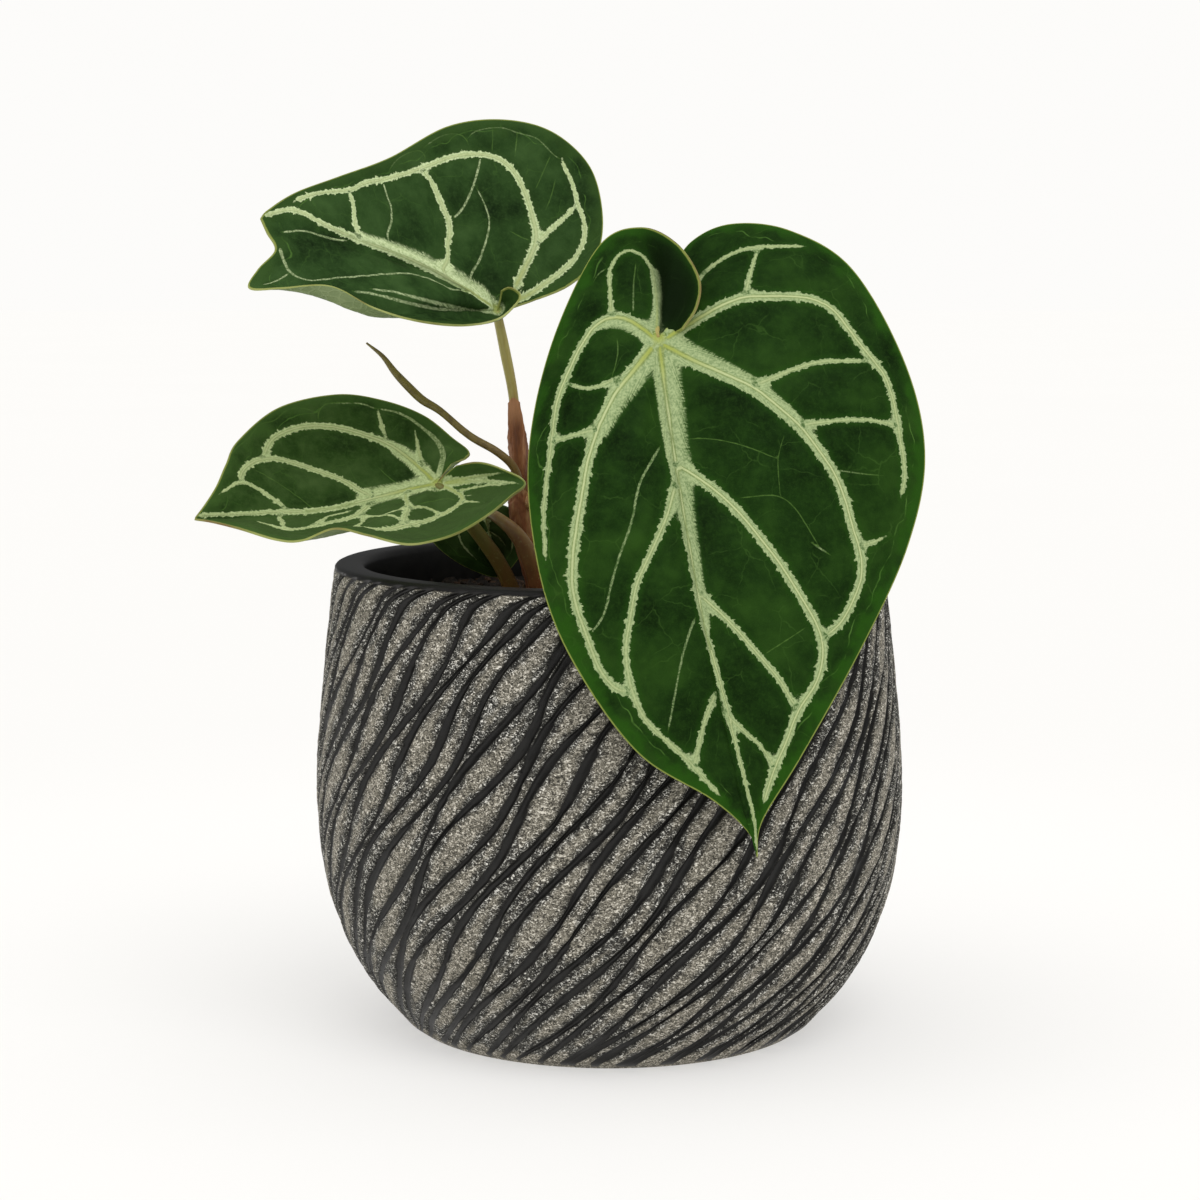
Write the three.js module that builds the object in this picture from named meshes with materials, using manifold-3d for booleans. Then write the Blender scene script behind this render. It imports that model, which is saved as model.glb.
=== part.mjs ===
// Potted silver blush anthurium: a rounded planter with a net of slanting
// grooves, filled with potting mix, and a young plant with four open leaves
// and one leaf still rolled.
// Millimetres, +Z up, +X right, +Y to the back. The origin is the centre of
// the planter's flat base.

import * as THREE from 'three';
import Module from 'manifold-3d';

const wasm = await Module();
wasm.setup();

// Driving dimensions.

const PLANTER_DIAMETER = 180;
const PLANTER_HEIGHT = 142;
const BASE_RADIUS = 62;
const RIM_OUTER_RADIUS = 83.6;
const RIM_INNER_RADIUS = 74.7;
const FLOOR_THICKNESS = 9;
const SOIL_LEVEL = 130;
const GAP = 0.3; // left between any two pieces that touch

const GROOVE_LINES = 68;
const GROOVE_DEPTH = 1.2;
const GROOVE_SLANT = 1.05; // rise of a groove line for each mm round the foot
const GROOVE_STEEPEN = 0.0035; // added to the slant for each mm of height
const GROOVE_SWING = 1.6; // degrees that a line swings to either side
const GROOVE_WAVE = 58; // mm of height for one full swing
const GROOVE_DRIFT = [110, 90]; // degrees a wave drifts, three and seven times round
const GROOVE_SCATTER = 130; // degrees that each wave's own start is off
const GROOVE_HOOK = 4; // degrees that every line bends over below the lip
const GROOVE_HOOK_RISE = 6; // mm of height in which it does so
const GROOVE_MERGE = 1.2; // degrees between two lines where the land is gone

const BLADE_THICKNESS = 0.8;
const MIDRIB_THICKNESS = 1.5;

const LEAF_GREEN = 0x24421f;
const STALK_OLIVE = 0x7f7a3e;
const SHEATH_BROWN = 0x8f5236;
const PLANTER_GREY = 0x5a5752;
const SOIL_BROWN = 0x2a221c;

const DEGREE = Math.PI / 180;

// Small helpers.

// Repeatable random numbers in 0..1.
function seeded(seed) {
  let state = seed;
  return () => {
    state = (state * 1664525 + 1013904223) % 4294967296;
    return state / 4294967296;
  };
}

function vec(p) {
  return new THREE.Vector3(p[0], p[1], p[2]);
}

function ease(a, b, x) {
  const t = Math.min(1, Math.max(0, (x - a) / (b - a)));
  return t * t * (3 - 2 * t);
}

// A smooth run through a list of points; t counts the points from 0.
function through(points, t) {
  const last = points.length - 1;
  const k = Math.min(last - 1, Math.max(0, Math.floor(t)));
  const f = t - k;
  const p1 = points[k];
  const p2 = points[k + 1];
  const p0 = k > 0 ? points[k - 1] : p1.clone().multiplyScalar(2).sub(p2);
  const p3 = k + 2 <= last ? points[k + 2] : p2.clone().multiplyScalar(2).sub(p1);
  const blend = (a, b, c, d) => 0.5 * (2 * b + (c - a) * f
    + (2 * a - 5 * b + 4 * c - d) * f * f + (3 * b - a - 3 * c + d) * f * f * f);
  return new THREE.Vector3(
    blend(p0.x, p1.x, p2.x, p3.x),
    blend(p0.y, p1.y, p2.y, p3.y),
    blend(p0.z, p1.z, p2.z, p3.z));
}

function solid(points, faces) {
  const geometry = new THREE.BufferGeometry();
  geometry.setAttribute('position', new THREE.Float32BufferAttribute(
    points.flatMap((p) => [p.x, p.y, p.z]), 3));
  geometry.setIndex(faces.flat());
  return geometry;
}

function toManifold(geometry) {
  return new wasm.Manifold(new wasm.Mesh({
    numProp: 3,
    vertProperties: new Float32Array(geometry.getAttribute('position').array),
    triVerts: new Uint32Array(geometry.getIndex().array),
  }));
}

function fromManifold(body) {
  const mesh = body.getMesh();
  const geometry = new THREE.BufferGeometry();
  geometry.setAttribute('position',
    new THREE.Float32BufferAttribute(Array.from(mesh.vertProperties), 3));
  geometry.setIndex(Array.from(mesh.triVerts));
  return geometry;
}

function largestPiece(body) {
  return body.decompose().sort((a, b) => b.volume() - a.volume())[0];
}

// Faces between closed rings of equal count, with a point at each end.
function ringFaces(rings, count) {
  const start = rings * count;
  const end = start + 1;
  const faces = [];
  for (let k = 0; k < count; k += 1) {
    const next = (k + 1) % count;
    faces.push([start, next, k]);
    faces.push([end, (rings - 1) * count + k, (rings - 1) * count + next]);
    for (let r = 0; r < rings - 1; r += 1) {
      const a = r * count;
      const b = a + count;
      faces.push([a + k, a + next, b + next]);
      faces.push([a + k, b + next, b + k]);
    }
  }
  return faces;
}

const group = new THREE.Group();
group.name = 'potted_silver_blush_anthurium';

function add(name, geometry, colour, roughness) {
  const material = new THREE.MeshStandardMaterial({ color: colour, roughness, metalness: 0 });
  material.name = name;
  const mesh = new THREE.Mesh(geometry, material);
  mesh.name = name;
  group.add(mesh);
}

// Planter.

// Outer wall as [height, radius], from the foot to just under the lip.
const WALL = [
  [0, BASE_RADIUS], [4.3, 65.9], [14.2, 74.3], [28.3, 82.1], [45.4, 87.5],
  [63.8, 89.8], [75, PLANTER_DIAMETER / 2], [85, 89.7], [113.4, 87.1],
  [136, 84.5], [PLANTER_HEIGHT, RIM_OUTER_RADIUS],
].map(([z, r]) => new THREE.Vector3(r, 0, z));
const WALL_TOP = 140.6; // the grooves end here, below a plain lip
const WALL_FOOT = 2;
const WALL_ROWS = 17;
const LIP_ROUNDING = 1.3;
const FLOOR_RADIUS = 50;
const CAVITY_SIDES = 64;

// Inside of the planter as [radius, height], from the floor to the lip.
const CAVITY = [
  [FLOOR_RADIUS, FLOOR_THICKNESS], [FLOOR_RADIUS + 10, FLOOR_THICKNESS + 5],
  [RIM_INNER_RADIUS - 1, 34], [RIM_INNER_RADIUS + 5, 62], [RIM_INNER_RADIUS + 5, 96],
  [RIM_INNER_RADIUS, 120], [RIM_INNER_RADIUS, PLANTER_HEIGHT - LIP_ROUNDING],
];

function wallRadius(z) {
  let k = 0;
  while (k < WALL.length - 2 && WALL[k + 1].z < z) {
    k += 1;
  }
  let low = k;
  let high = k + 1;
  for (let step = 0; step < 30; step += 1) {
    const middle = (low + high) / 2;
    if (through(WALL, middle).z < z) {
      low = middle;
    } else {
      high = middle;
    }
  }
  return through(WALL, (low + high) / 2).x;
}

// Turn of the groove lines, in degrees, from the foot up to a height: each
// line climbs the wall a little more steeply as it rises, and bends over
// just below the lip.
function slantTurn(height) {
  const step = 2;
  let turn = 0;
  for (let z = 0; z < height; z += step) {
    const dz = Math.min(step, height - z);
    const r = wallRadius(z + dz / 2);
    const dr = wallRadius(z + dz) - wallRadius(z);
    turn += Math.hypot(dz, dr) / (r * (GROOVE_SLANT + GROOVE_STEEPEN * z));
  }
  const hook = Math.max(0, height - WALL_TOP + GROOVE_HOOK_RISE) / GROOVE_HOOK_RISE;
  return turn / DEGREE + GROOVE_HOOK * hook ** 2;
}

// Each line has its own swing, wave and start, drawn once.
const grooveRandom = seeded(11);
const GROOVE_DRAWS = Array.from({ length: GROOVE_LINES },
  () => Array.from({ length: 3 }, () => grooveRandom() - 0.5));

// Azimuth of one groove line at a height, in degrees. Neighbouring lines
// swing against each other, so they meet and part like a net.
function grooveAzimuth(line, z, turn) {
  const k = (line + GROOVE_LINES) % GROOVE_LINES;
  const [start, size, wave] = GROOVE_DRAWS[k];
  const around = k / GROOVE_LINES * 2 * Math.PI;
  const [slow, quick] = GROOVE_DRIFT;
  const drift = slow * Math.sin(3 * around) + quick * Math.sin(7 * around + 1);
  const phase = 180 * k + drift + GROOVE_SCATTER * start;
  const height = 360 * z / (GROOVE_WAVE * (1 + 0.25 * wave));
  const swing = GROOVE_SWING * (1 + 0.5 * size) * Math.sin((height + phase) * DEGREE);
  return line * 360 / GROOVE_LINES + turn + swing;
}

// A ring of points at one height, each azimuth in degrees from the front.
function ringPoints(azimuths, radii, z) {
  return azimuths.map((azimuth, k) => new THREE.Vector3(
    radii[k] * Math.sin(azimuth * DEGREE), -radii[k] * Math.cos(azimuth * DEGREE), z));
}

// One ring of the grooved wall: a point in each groove and one on the land
// beside it.
function wallRing(z, fade) {
  const turn = slantTurn(z);
  const azimuths = [];
  const radii = [];
  for (let line = 0; line < GROOVE_LINES; line += 1) {
    const here = grooveAzimuth(line, z, turn);
    const next = grooveAzimuth(line + 1, z, turn);
    const land = ease(GROOVE_MERGE, 2.6 * GROOVE_MERGE, next - here);
    const low = wallRadius(z) - GROOVE_DEPTH * fade;
    azimuths.push(here, (here + next) / 2);
    radii.push(low, low + GROOVE_DEPTH * fade * land);
  }
  return ringPoints(azimuths, radii, z);
}

// A closed round body from [radius, height] points, foot to top.
function turned(profile, sides) {
  const azimuths = Array.from({ length: sides }, (_, k) => k * 360 / sides);
  const points = profile.flatMap(([r, z]) => ringPoints(azimuths, azimuths.map(() => r), z));
  points.push(new THREE.Vector3(0, 0, profile[0][1]));
  points.push(new THREE.Vector3(0, 0, profile[profile.length - 1][1]));
  return solid(points, ringFaces(profile.length, sides));
}

function planter() {
  const rows = [];
  for (let row = 0; row <= WALL_ROWS; row += 1) {
    const z = WALL_FOOT + (WALL_TOP - WALL_FOOT) * row / WALL_ROWS;
    rows.push(wallRing(z, ease(0, 5, z - WALL_FOOT) * ease(0, 1, WALL_TOP - z)));
  }
  const columns = rows[0].length;
  const atAzimuthsOf = (row, r, z) => row.map((p) => {
    const scale = r / Math.hypot(p.x, p.y);
    return new THREE.Vector3(p.x * scale, p.y * scale, z);
  });
  const last = rows[WALL_ROWS];
  const rings = [
    atAzimuthsOf(rows[0], BASE_RADIUS - 1, 0),
    ...rows,
    atAzimuthsOf(last, RIM_OUTER_RADIUS - LIP_ROUNDING, PLANTER_HEIGHT),
  ];
  const points = rings.flat();
  points.push(new THREE.Vector3(0, 0, 0));
  points.push(new THREE.Vector3(0, 0, PLANTER_HEIGHT));
  const outside = toManifold(solid(points, ringFaces(rings.length, columns)));
  const inside = toManifold(turned([...CAVITY, [RIM_INNER_RADIUS + LIP_ROUNDING, PLANTER_HEIGHT],
    [RIM_INNER_RADIUS + LIP_ROUNDING, PLANTER_HEIGHT + 1]], CAVITY_SIDES));
  return fromManifold(outside.subtract(inside));
}

// Stalks.

// A round stalk along a smooth line, its radius running through a list.
function stalk(line, radii, grow = 0, sides = 8, steps = 15) {
  const curve = new THREE.CatmullRomCurve3(line.map(vec), false, 'centripetal');
  const frames = curve.computeFrenetFrames(steps, false);
  const radiusPoints = radii.map((r) => new THREE.Vector3(r, 0, 0));
  const points = [];
  for (let s = 0; s <= steps; s += 1) {
    const centre = curve.getPointAt(s / steps);
    if (s === 0) {
      centre.addScaledVector(frames.tangents[0], -grow);
    }
    if (s === steps) {
      centre.addScaledVector(frames.tangents[steps], grow);
    }
    const radius = through(radiusPoints, s / steps * (radii.length - 1)).x + grow;
    for (let k = 0; k < sides; k += 1) {
      const a = k / sides * 2 * Math.PI;
      points.push(centre.clone()
        .addScaledVector(frames.normals[s], radius * Math.cos(a))
        .addScaledVector(frames.binormals[s], radius * Math.sin(a)));
    }
  }
  points.push(curve.getPointAt(0).addScaledVector(frames.tangents[0], -grow));
  points.push(curve.getPointAt(1).addScaledVector(frames.tangents[steps], grow));
  return solid(points, ringFaces(steps + 1, sides));
}

// A sheath: a slit tube round a stalk's line, open at its back, that narrows
// to a blunt, rounded tongue at its top end.
function sheath(line, inner, outer, tipShare) {
  const curve = new THREE.CatmullRomCurve3(line.map(vec), false, 'centripetal');
  const steps = 15;
  const arc = 7;
  const halfOpen = 140 * DEGREE;
  const narrowing = 0.7;
  const cornerDrop = 1.6;
  const outerPoints = outer.map((r) => new THREE.Vector3(r, 0, 0));
  const points = [];
  for (let s = 0; s <= steps; s += 1) {
    const at = s / steps;
    const centre = curve.getPointAt(at);
    const tangent = curve.getTangentAt(at);
    const side = new THREE.Vector3(1, 0, 0).cross(tangent).cross(tangent).negate().normalize();
    const front = side.clone().cross(tangent).normalize();
    const half = halfOpen * (1 - narrowing * ease(1 - tipShare, 1, at));
    const drop = cornerDrop * ease(1 - tipShare / 2, 1, at);
    const wide = through(outerPoints, at * (outer.length - 1)).x;
    for (let k = 0; k < 2 * arc; k += 1) {
      const onOuter = k < arc;
      const a = half * (onOuter ? 2 * k / (arc - 1) - 1 : 1 - 2 * (k - arc) / (arc - 1));
      const r = onOuter ? wide : inner;
      points.push(centre.clone()
        .addScaledVector(front, r * Math.cos(a))
        .addScaledVector(side, r * Math.sin(a))
        .addScaledVector(tangent, -drop * (a / half) ** 2));
    }
  }
  return solid(points, sheathFaces(steps + 1, arc));
}

// Each ring of a sheath runs along its outer arc and back along the inner.
function sheathFaces(rings, arc) {
  const count = 2 * arc;
  const faces = [];
  for (let r = 0; r < rings - 1; r += 1) {
    for (let k = 0; k < count; k += 1) {
      const a = r * count;
      const next = (k + 1) % count;
      faces.push([a + k, a + next, a + count + next]);
      faces.push([a + k, a + count + next, a + count + k]);
    }
  }
  const top = (rings - 1) * count;
  for (let k = 0; k < arc - 1; k += 1) {
    const inner = count - 1 - k;
    faces.push([k, inner, inner - 1], [k, inner - 1, k + 1]);
    faces.push([top + k, top + inner - 1, top + inner], [top + k, top + k + 1, top + inner - 1]);
  }
  return faces;
}

// Leaf blades.

// A blade is a fan of curved ribs from the point where the stalk joins. Each
// rib is [edge point, point half way along]. Both halves start at the rib
// that is the midrib, which ends in the drip tip, and go round to the
// notch behind the stalk.

const FRONT_LEAF = {
  join: [13.5, -62, 211.5],
  midrib: [[40, -101, 71], [24, -96, 142]],
  right: [
    [[41.5, -100, 81], [26.5, -91, 148]],
    [[52, -97, 98], [33.5, -87, 157]],
    [[69, -86, 126], [42, -82.5, 171]],
    [[83, -74, 153.5], [49, -77.5, 185]],
    [[88.5, -66, 178.5], [52, -72.5, 197.5]],
    [[83.5, -58, 204], [49, -66.5, 209.5]],
    [[69, -50, 230.5], [41.5, -61, 222.5]],
    [[51.5, -46, 241.5], [32.5, -56.5, 227.5]],
    [[35, -41, 243.5], [24.5, -50, 228]],
    [[23.5, -38.5, 238.5], [18.5, -47, 225.5]],
    [[17.5, -41, 229], [15.5, -50, 220.5]],
    [[14.5, -50, 219], [14, -56, 215.5]],
  ],
  left: [
    [[37.5, -100.5, 78], [22, -93, 146]],
    [[27.5, -100, 87], [17, -90, 152]],
    [[8, -98.5, 99], [9.5, -89, 158.5]],
    [[-8, -94.5, 120], [3.5, -87, 168]],
    [[-18, -88, 141.5], [-2, -85, 174]],
    [[-23, -70, 168], [-4.5, -76, 189]],
    [[-21.5, -58, 191], [-4, -66, 202.5]],
    [[-14.5, -48, 215.5], [-0.5, -56, 216]],
    [[-3, -41, 237.5], [6, -50, 225.5]],
    [[8.5, -43, 242.5], [13, -50, 226]],
    [[18.5, -53, 238], [16, -56, 223.5]],
    [[24.5, -63, 228.5], [19, -60, 219.5]],
    [[24, -67, 220.5], [19, -62.5, 216]],
    [[20, -66, 214], [17, -62, 212.5]],
  ],
};

const UPPER_LEAF = {
  join: [-34, -4, 218],
  midrib: [[-99.5, -47, 245], [-62.5, -22, 235]],
  left: [
    [[-97.5, -45, 247.5], [-62.5, -22, 236.5]],
    [[-90.5, -38, 252.5], [-62, -19, 239]],
    [[-79, -26, 257.5], [-56.5, -12, 241.5]],
    [[-65.5, -10, 263.5], [-51, -6, 243.5]],
    [[-49, 6, 273.5], [-42, 1, 247]],
    [[-32.5, 15, 276], [-33.5, 6, 248]],
    [[-17.5, 20, 272.5], [-26, 9, 247]],
    [[-6, 21, 262], [-19.5, 10, 243]],
    [[-2, 16, 247], [-17.5, 8, 234.5]],
    [[-4, 10, 234], [-19.5, 4, 226]],
    [[-12, 4, 226], [-23, 1, 222]],
    [[-24, -1, 221], [-29, -3, 219.5]],
  ],
  right: [
    [[-97.5, -49, 241], [-63, -22, 233]],
    [[-95, -51, 236], [-61.5, -24, 231.5]],
    [[-99.5, -56, 230.5], [-62, -29, 229.5]],
    [[-101.5, -60, 225.5], [-61, -34, 226.5]],
    [[-92.5, -60, 225.5], [-60, -38, 223.5], 2],
    [[-78.5, -62, 226], [-58, -36, 220], 5],
    [[-67, -56, 220], [-52, -32, 218], 2],
    [[-55, -45, 216], [-45.5, -24, 215.5]],
    [[-43, -32, 214.5], [-39, -16, 215]],
    [[-33.5, -20, 216], [-34, -11, 215.5]],
    [[-28.5, -13, 220], [-31.5, -7, 217]],
    [[-27, -8, 223], [-30.5, -5, 219]],
    [[-30, -6, 225], [-31.5, -4, 221]],
    [[-32.5, -6, 224], [-33, -5, 220.5]],
  ],
};

const LEFT_LEAF = {
  join: [-52, -12, 166.5],
  midrib: [[-120, -46, 159], [-86, -24, 159.5]],
  left: [
    [[-118, -43, 162], [-85.5, -22, 161]],
    [[-115, -36, 167.5], [-85, -18, 164.5]],
    [[-113, -29, 173.5], [-83.5, -14, 167.5]],
    [[-110.5, -20, 180], [-81.5, -10, 170.5]],
    [[-100, -6, 189], [-75, -4, 175.5]],
    [[-83.5, 5, 192.5], [-66.5, 0, 178]],
    [[-69.5, 9, 190.5], [-60.5, 1, 178]],
    [[-57, 7, 186], [-54.5, 0, 176]],
    [[-48, 2, 179.5], [-50.5, -3, 173.5]],
    [[-42.5, -3, 175], [-47.5, -6, 171]],
    [[-48, -7, 172], [-50, -9, 169.5]],
  ],
  right: [
    [[-114.5, -49, 158.5], [-85.5, -25, 158.5]],
    [[-106, -54, 157], [-82.5, -29, 157.5]],
    [[-95, -60, 154.5], [-77.5, -34, 156]],
    [[-87.5, -63, 154.5], [-72.5, -38, 156.5]],
    [[-78, -64, 158], [-66, -40, 158]],
    [[-69, -62, 156], [-60.5, -38, 156.5]],
    [[-58.5, -58, 153], [-55, -34, 155.5]],
    [[-50.5, -53, 153.5], [-50, -29, 156.5]],
    [[-43, -46, 155.5], [-45, -25, 159.5]],
    [[-35, -39, 160], [-41.5, -21, 162.5]],
    [[-29, -33, 164.5], [-39.5, -18, 165]],
    [[-25, -28, 168], [-38, -16, 167.5]],
    [[-31, -22, 171], [-41.5, -14, 169]],
    [[-38.5, -17, 173], [-45, -13, 170.5]],
    [[-46, -13, 172], [-49, -12, 169.5]],
  ],
};

const INNER_LEAF = {
  join: [-38, -1, 156.5],
  midrib: [[-33.5, 18, 134.5], [-36.5, 5, 147]],
  right: [
    [[-30, 17, 138.5], [-34, 6, 148.5]],
    [[-26.5, 16, 144], [-32.5, 5.5, 152]],
    [[-26, 14, 150], [-32.5, 4, 155]],
    [[-28, 10, 155], [-33.5, 3, 157.5]],
    [[-31.5, 6, 158], [-35, 1.5, 158.5]],
    [[-35, 3, 159], [-37, 0.5, 158]],
  ],
  left: [
    [[-38.5, 20, 135], [-38.5, 8, 147]],
    [[-47, 22, 138.5], [-43, 9, 149]],
    [[-54.5, 21, 144.5], [-46.5, 8.5, 153]],
    [[-57.5, 17, 151], [-48, 6.5, 156]],
    [[-55, 12, 157], [-47, 4.5, 158.5]],
    [[-49, 7, 160], [-44, 3, 159.5]],
    [[-42.5, 3, 160], [-40.5, 0.5, 158.5]],
  ],
};

function halfBlade(leaf, side) {
  const ribs = [leaf.midrib, ...leaf[side]];
  return {
    edge: ribs.map((rib) => vec(rib[0])),
    middle: ribs.map((rib) => vec(rib[1])),
    sag: ribs.map((rib) => new THREE.Vector3(rib[2] || 0, 0, 0)),
  };
}

// Point of a half blade: u counts the ribs, reach runs from 0 at the stalk
// to 1 at the edge. A sagging rib dips before an edge that is turned up.
function bladePoint(join, half, u, reach) {
  const edge = through(half.edge, u);
  const middle = through(half.middle, u);
  const control = middle.multiplyScalar(2).addScaledVector(join, -0.5).addScaledVector(edge, -0.5);
  const q = reach ** 3;
  const point = join.clone().multiplyScalar((1 - reach) ** 2)
    .addScaledVector(control, 2 * reach * (1 - reach))
    .addScaledVector(edge, reach ** 2);
  point.z -= through(half.sag, u).x * 4 * q * (1 - q);
  return point;
}

const REACHES = [0.09, 0.26, 0.44, 0.62, 0.79, 0.92, 1];
const RIB_STEP = 0.5;

function blade(leaf, grow = 0) {
  const join = vec(leaf.join);
  const columns = [];
  for (const side of ['left', 'right']) {
    const half = halfBlade(leaf, side);
    const last = half.edge.length - 1;
    for (let u = side === 'left' ? last : RIB_STEP; side === 'left' ? u >= 0 : u <= last;
      u += side === 'left' ? -RIB_STEP : RIB_STEP) {
      columns.push({
        row: REACHES.map((reach) => bladePoint(join, half, u, reach)),
        midrib: Math.exp(-((u / 0.6) ** 2)),
      });
    }
  }
  return thicken(join, columns, grow);
}

// Gives a fan of columns its thickness: an upper and a lower sheet with a
// wall along the edge and along both sides of the notch.
function thicken(join, columns, grow) {
  const rows = REACHES.length;
  const sheet = [join, ...columns.flatMap((column) => column.row)];
  const at = (c, r) => 1 + c * rows + r;
  const sheetFaces = [];
  for (let c = 0; c < columns.length - 1; c += 1) {
    sheetFaces.push([0, at(c, 0), at(c + 1, 0)]);
    for (let r = 0; r < rows - 1; r += 1) {
      sheetFaces.push([at(c, r), at(c, r + 1), at(c + 1, r + 1)]);
      sheetFaces.push([at(c, r), at(c + 1, r + 1), at(c + 1, r)]);
    }
  }
  const normals = sheet.map(() => new THREE.Vector3());
  for (const [a, b, c] of sheetFaces) {
    const n = sheet[b].clone().sub(sheet[a]).cross(sheet[c].clone().sub(sheet[a]));
    n.normalize();
    [a, b, c].forEach((k) => normals[k].add(n));
  }
  const upper = [];
  const lower = [];
  sheet.forEach((p, k) => {
    const n = normals[k].normalize();
    const column = k === 0 ? null : columns[Math.floor((k - 1) / rows)];
    const rib = column ? column.midrib * (1 - ((k - 1) % rows) / rows) : 1;
    const below = BLADE_THICKNESS / 2 + (MIDRIB_THICKNESS - BLADE_THICKNESS) * rib;
    upper.push(p.clone().addScaledVector(n, BLADE_THICKNESS / 2 + grow));
    lower.push(p.clone().addScaledVector(n, -below - grow));
  });
  const size = sheet.length;
  const faces = [];
  for (const [a, b, c] of sheetFaces) {
    faces.push([a, b, c]);
    faces.push([a + size, c + size, b + size]);
  }
  const rim = [0];
  for (let r = 0; r < rows; r += 1) {
    rim.push(at(0, r));
  }
  for (let c = 1; c < columns.length; c += 1) {
    rim.push(at(c, rows - 1));
  }
  for (let r = rows - 2; r >= 0; r -= 1) {
    rim.push(at(columns.length - 1, r));
  }
  rim.forEach((a, k) => {
    const b = rim[(k + 1) % rim.length];
    faces.push([a, a + size, b + size]);
    faces.push([a, b + size, b]);
  });
  return solid([...upper, ...lower], faces);
}

// Stalk lines.

const ROOTED = 124; // the stalks start this high, inside the crown

const FRONT_STALK = {
  line: [[-12.5, -3, ROOTED], [-12, -6, 148], [-6, -17, 176], [2, -31, 199], [9, -45, 212],
    [12.6, -55, 214.5], [13.4, -60.6, 212.2]],
  radii: [2.8, 2.5, 2.3, 2.2, 2.3, 2.1, 1.6],
};
const UPPER_STALK = {
  line: [[-21.5, 11, ROOTED], [-24, 8, 141], [-26.7, 5, 160], [-27.7, 3, 174], [-29.2, 1, 192],
    [-31.7, -1, 206], [-33.8, -3.4, 216.6]],
  radii: [1.7, 1.6, 1.5, 1.5, 1.5, 1.6, 1.4],
};
const LEFT_STALK = {
  line: [[-27.5, -2, ROOTED], [-29.7, -4, 133], [-34.2, -6.5, 143], [-41.5, -9.5, 153.5],
    [-48, -12, 162], [-51.4, -12.2, 165.4]],
  radii: [2.6, 2.5, 2.3, 2.1, 2, 1.6],
};
const INNER_STALK = {
  line: [[-19.5, -6, ROOTED], [-21.8, -8, 135], [-24.4, -10, 144.5], [-28, -11, 151],
    [-32.5, -9.5, 155], [-36.2, -4.5, 156.8], [-37.8, -1.9, 156.7]],
  radii: [3.1, 2.9, 2.8, 2.7, 2.2, 1.7, 1.3],
};
const NEW_STALK = {
  line: [[-20, 3, ROOTED], [-22.5, 1, 137], [-25.5, -1, 149], [-27.2, -2.6, 159],
    [-27.6, -4.2, 166.5], [-29.6, -5, 171.5], [-34.5, -5, 175.8], [-42.5, -3, 180.3],
    [-51.5, 0, 187.5]],
  radii: [1.5, 1.5, 1.45, 1.4, 1.35, 1.3, 1.25, 1.2, 1.2],
};
// The rolled blade carries on from its stalk as one piece.
const NEW_BLADE = {
  line: [[-51.5, 0, 187.5], [-57, 1.6, 190.8], [-61, 3, 194.4], [-65.5, 5, 199], [-69.5, 7, 204],
    [-74.5, 9, 208]],
  radii: [1.2, 1.25, 1.6, 1.55, 0.95, 0.35],
};

const UPPER_SHEATH = {
  line: [[-22.3, 10, 129], [-24, 8, 141], [-26.7, 5, 160], [-27.7, 3, 174], [-29.2, 1, 192]],
  inner: 2.25,
  outer: [3.1, 3.1, 3, 3, 2.9, 2.6],
  tip: 0.4,
};
const LOWER_SHEATH = {
  line: [[-21, 2.3, 129], [-22.5, 1, 137], [-25.5, -1, 149], [-27.2, -2.6, 159],
    [-27.6, -4.2, 166.5]],
  inner: 2.15,
  outer: [3.6, 3.9, 4, 3.7, 3],
  tip: 0.3,
};
const BUD = { at: [-24.3, -5.2, 160.4], radius: 1.6, height: 2.4 };

// Crown and potting mix.

const CROWN = { centre: [-20.5, 1.5, 126.5], half: [12, 11, 7] };

function crownBody(grow) {
  const sphere = new THREE.SphereGeometry(1, 18, 9);
  const hull = wasm.Manifold.hull(
    Array.from({ length: sphere.getAttribute('position').count }, (_, k) => {
      const p = new THREE.Vector3().fromBufferAttribute(sphere.getAttribute('position'), k);
      const lump = 1 + 0.05 * Math.sin(5 * p.x + 2) * Math.sin(4 * p.y + 1);
      return CROWN.half.map((h, axis) => CROWN.centre[axis]
        + (h * lump + grow) * p.getComponent(axis));
    }));
  return hull;
}

const SOIL_RINGS = [13, 26, 38, 50, 62, RIM_INNER_RADIUS - 2 * GAP];
const SOIL_SIDES = 40;
const SOIL_LUMPS = 0.55;

// Height of the potting mix: low lumps, a little higher round the stems.
function soilHeight(x, y) {
  const lumps = Math.sin(0.17 * x + 1.3) * Math.sin(0.21 * y + 0.4)
    + 0.6 * Math.sin(0.43 * x - 0.31 * y + 2) + 0.4 * Math.sin(0.71 * y + 0.52 * x);
  const mound = 1.5 * Math.exp(-((x + 20) ** 2 + y ** 2) / 500);
  return SOIL_LEVEL - 1 + SOIL_LUMPS * lumps + mound;
}

function soilBody() {
  const azimuths = Array.from({ length: SOIL_SIDES }, (_, k) => k * 360 / SOIL_SIDES);
  const level = (r, z) => ringPoints(azimuths, azimuths.map(() => r), z);
  const below = CAVITY.slice(0, -1).map(([r, z]) => level(r - 2 * GAP, z + GAP));
  const above = SOIL_RINGS.slice().reverse().map((r) => level(r, 0).map((p) => {
    p.z = soilHeight(p.x, p.y);
    return p;
  }));
  const points = [...below, ...above].flat();
  points.push(new THREE.Vector3(0, 0, FLOOR_THICKNESS + GAP));
  points.push(new THREE.Vector3(0, 0, soilHeight(0, 0)));
  return solid(points, ringFaces(below.length + above.length, SOIL_SIDES));
}

// Assembly.

const rootedStalks = [FRONT_STALK, UPPER_STALK, LEFT_STALK, INNER_STALK, NEW_STALK];
const sheathShapes = [UPPER_SHEATH, LOWER_SHEATH];

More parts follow.
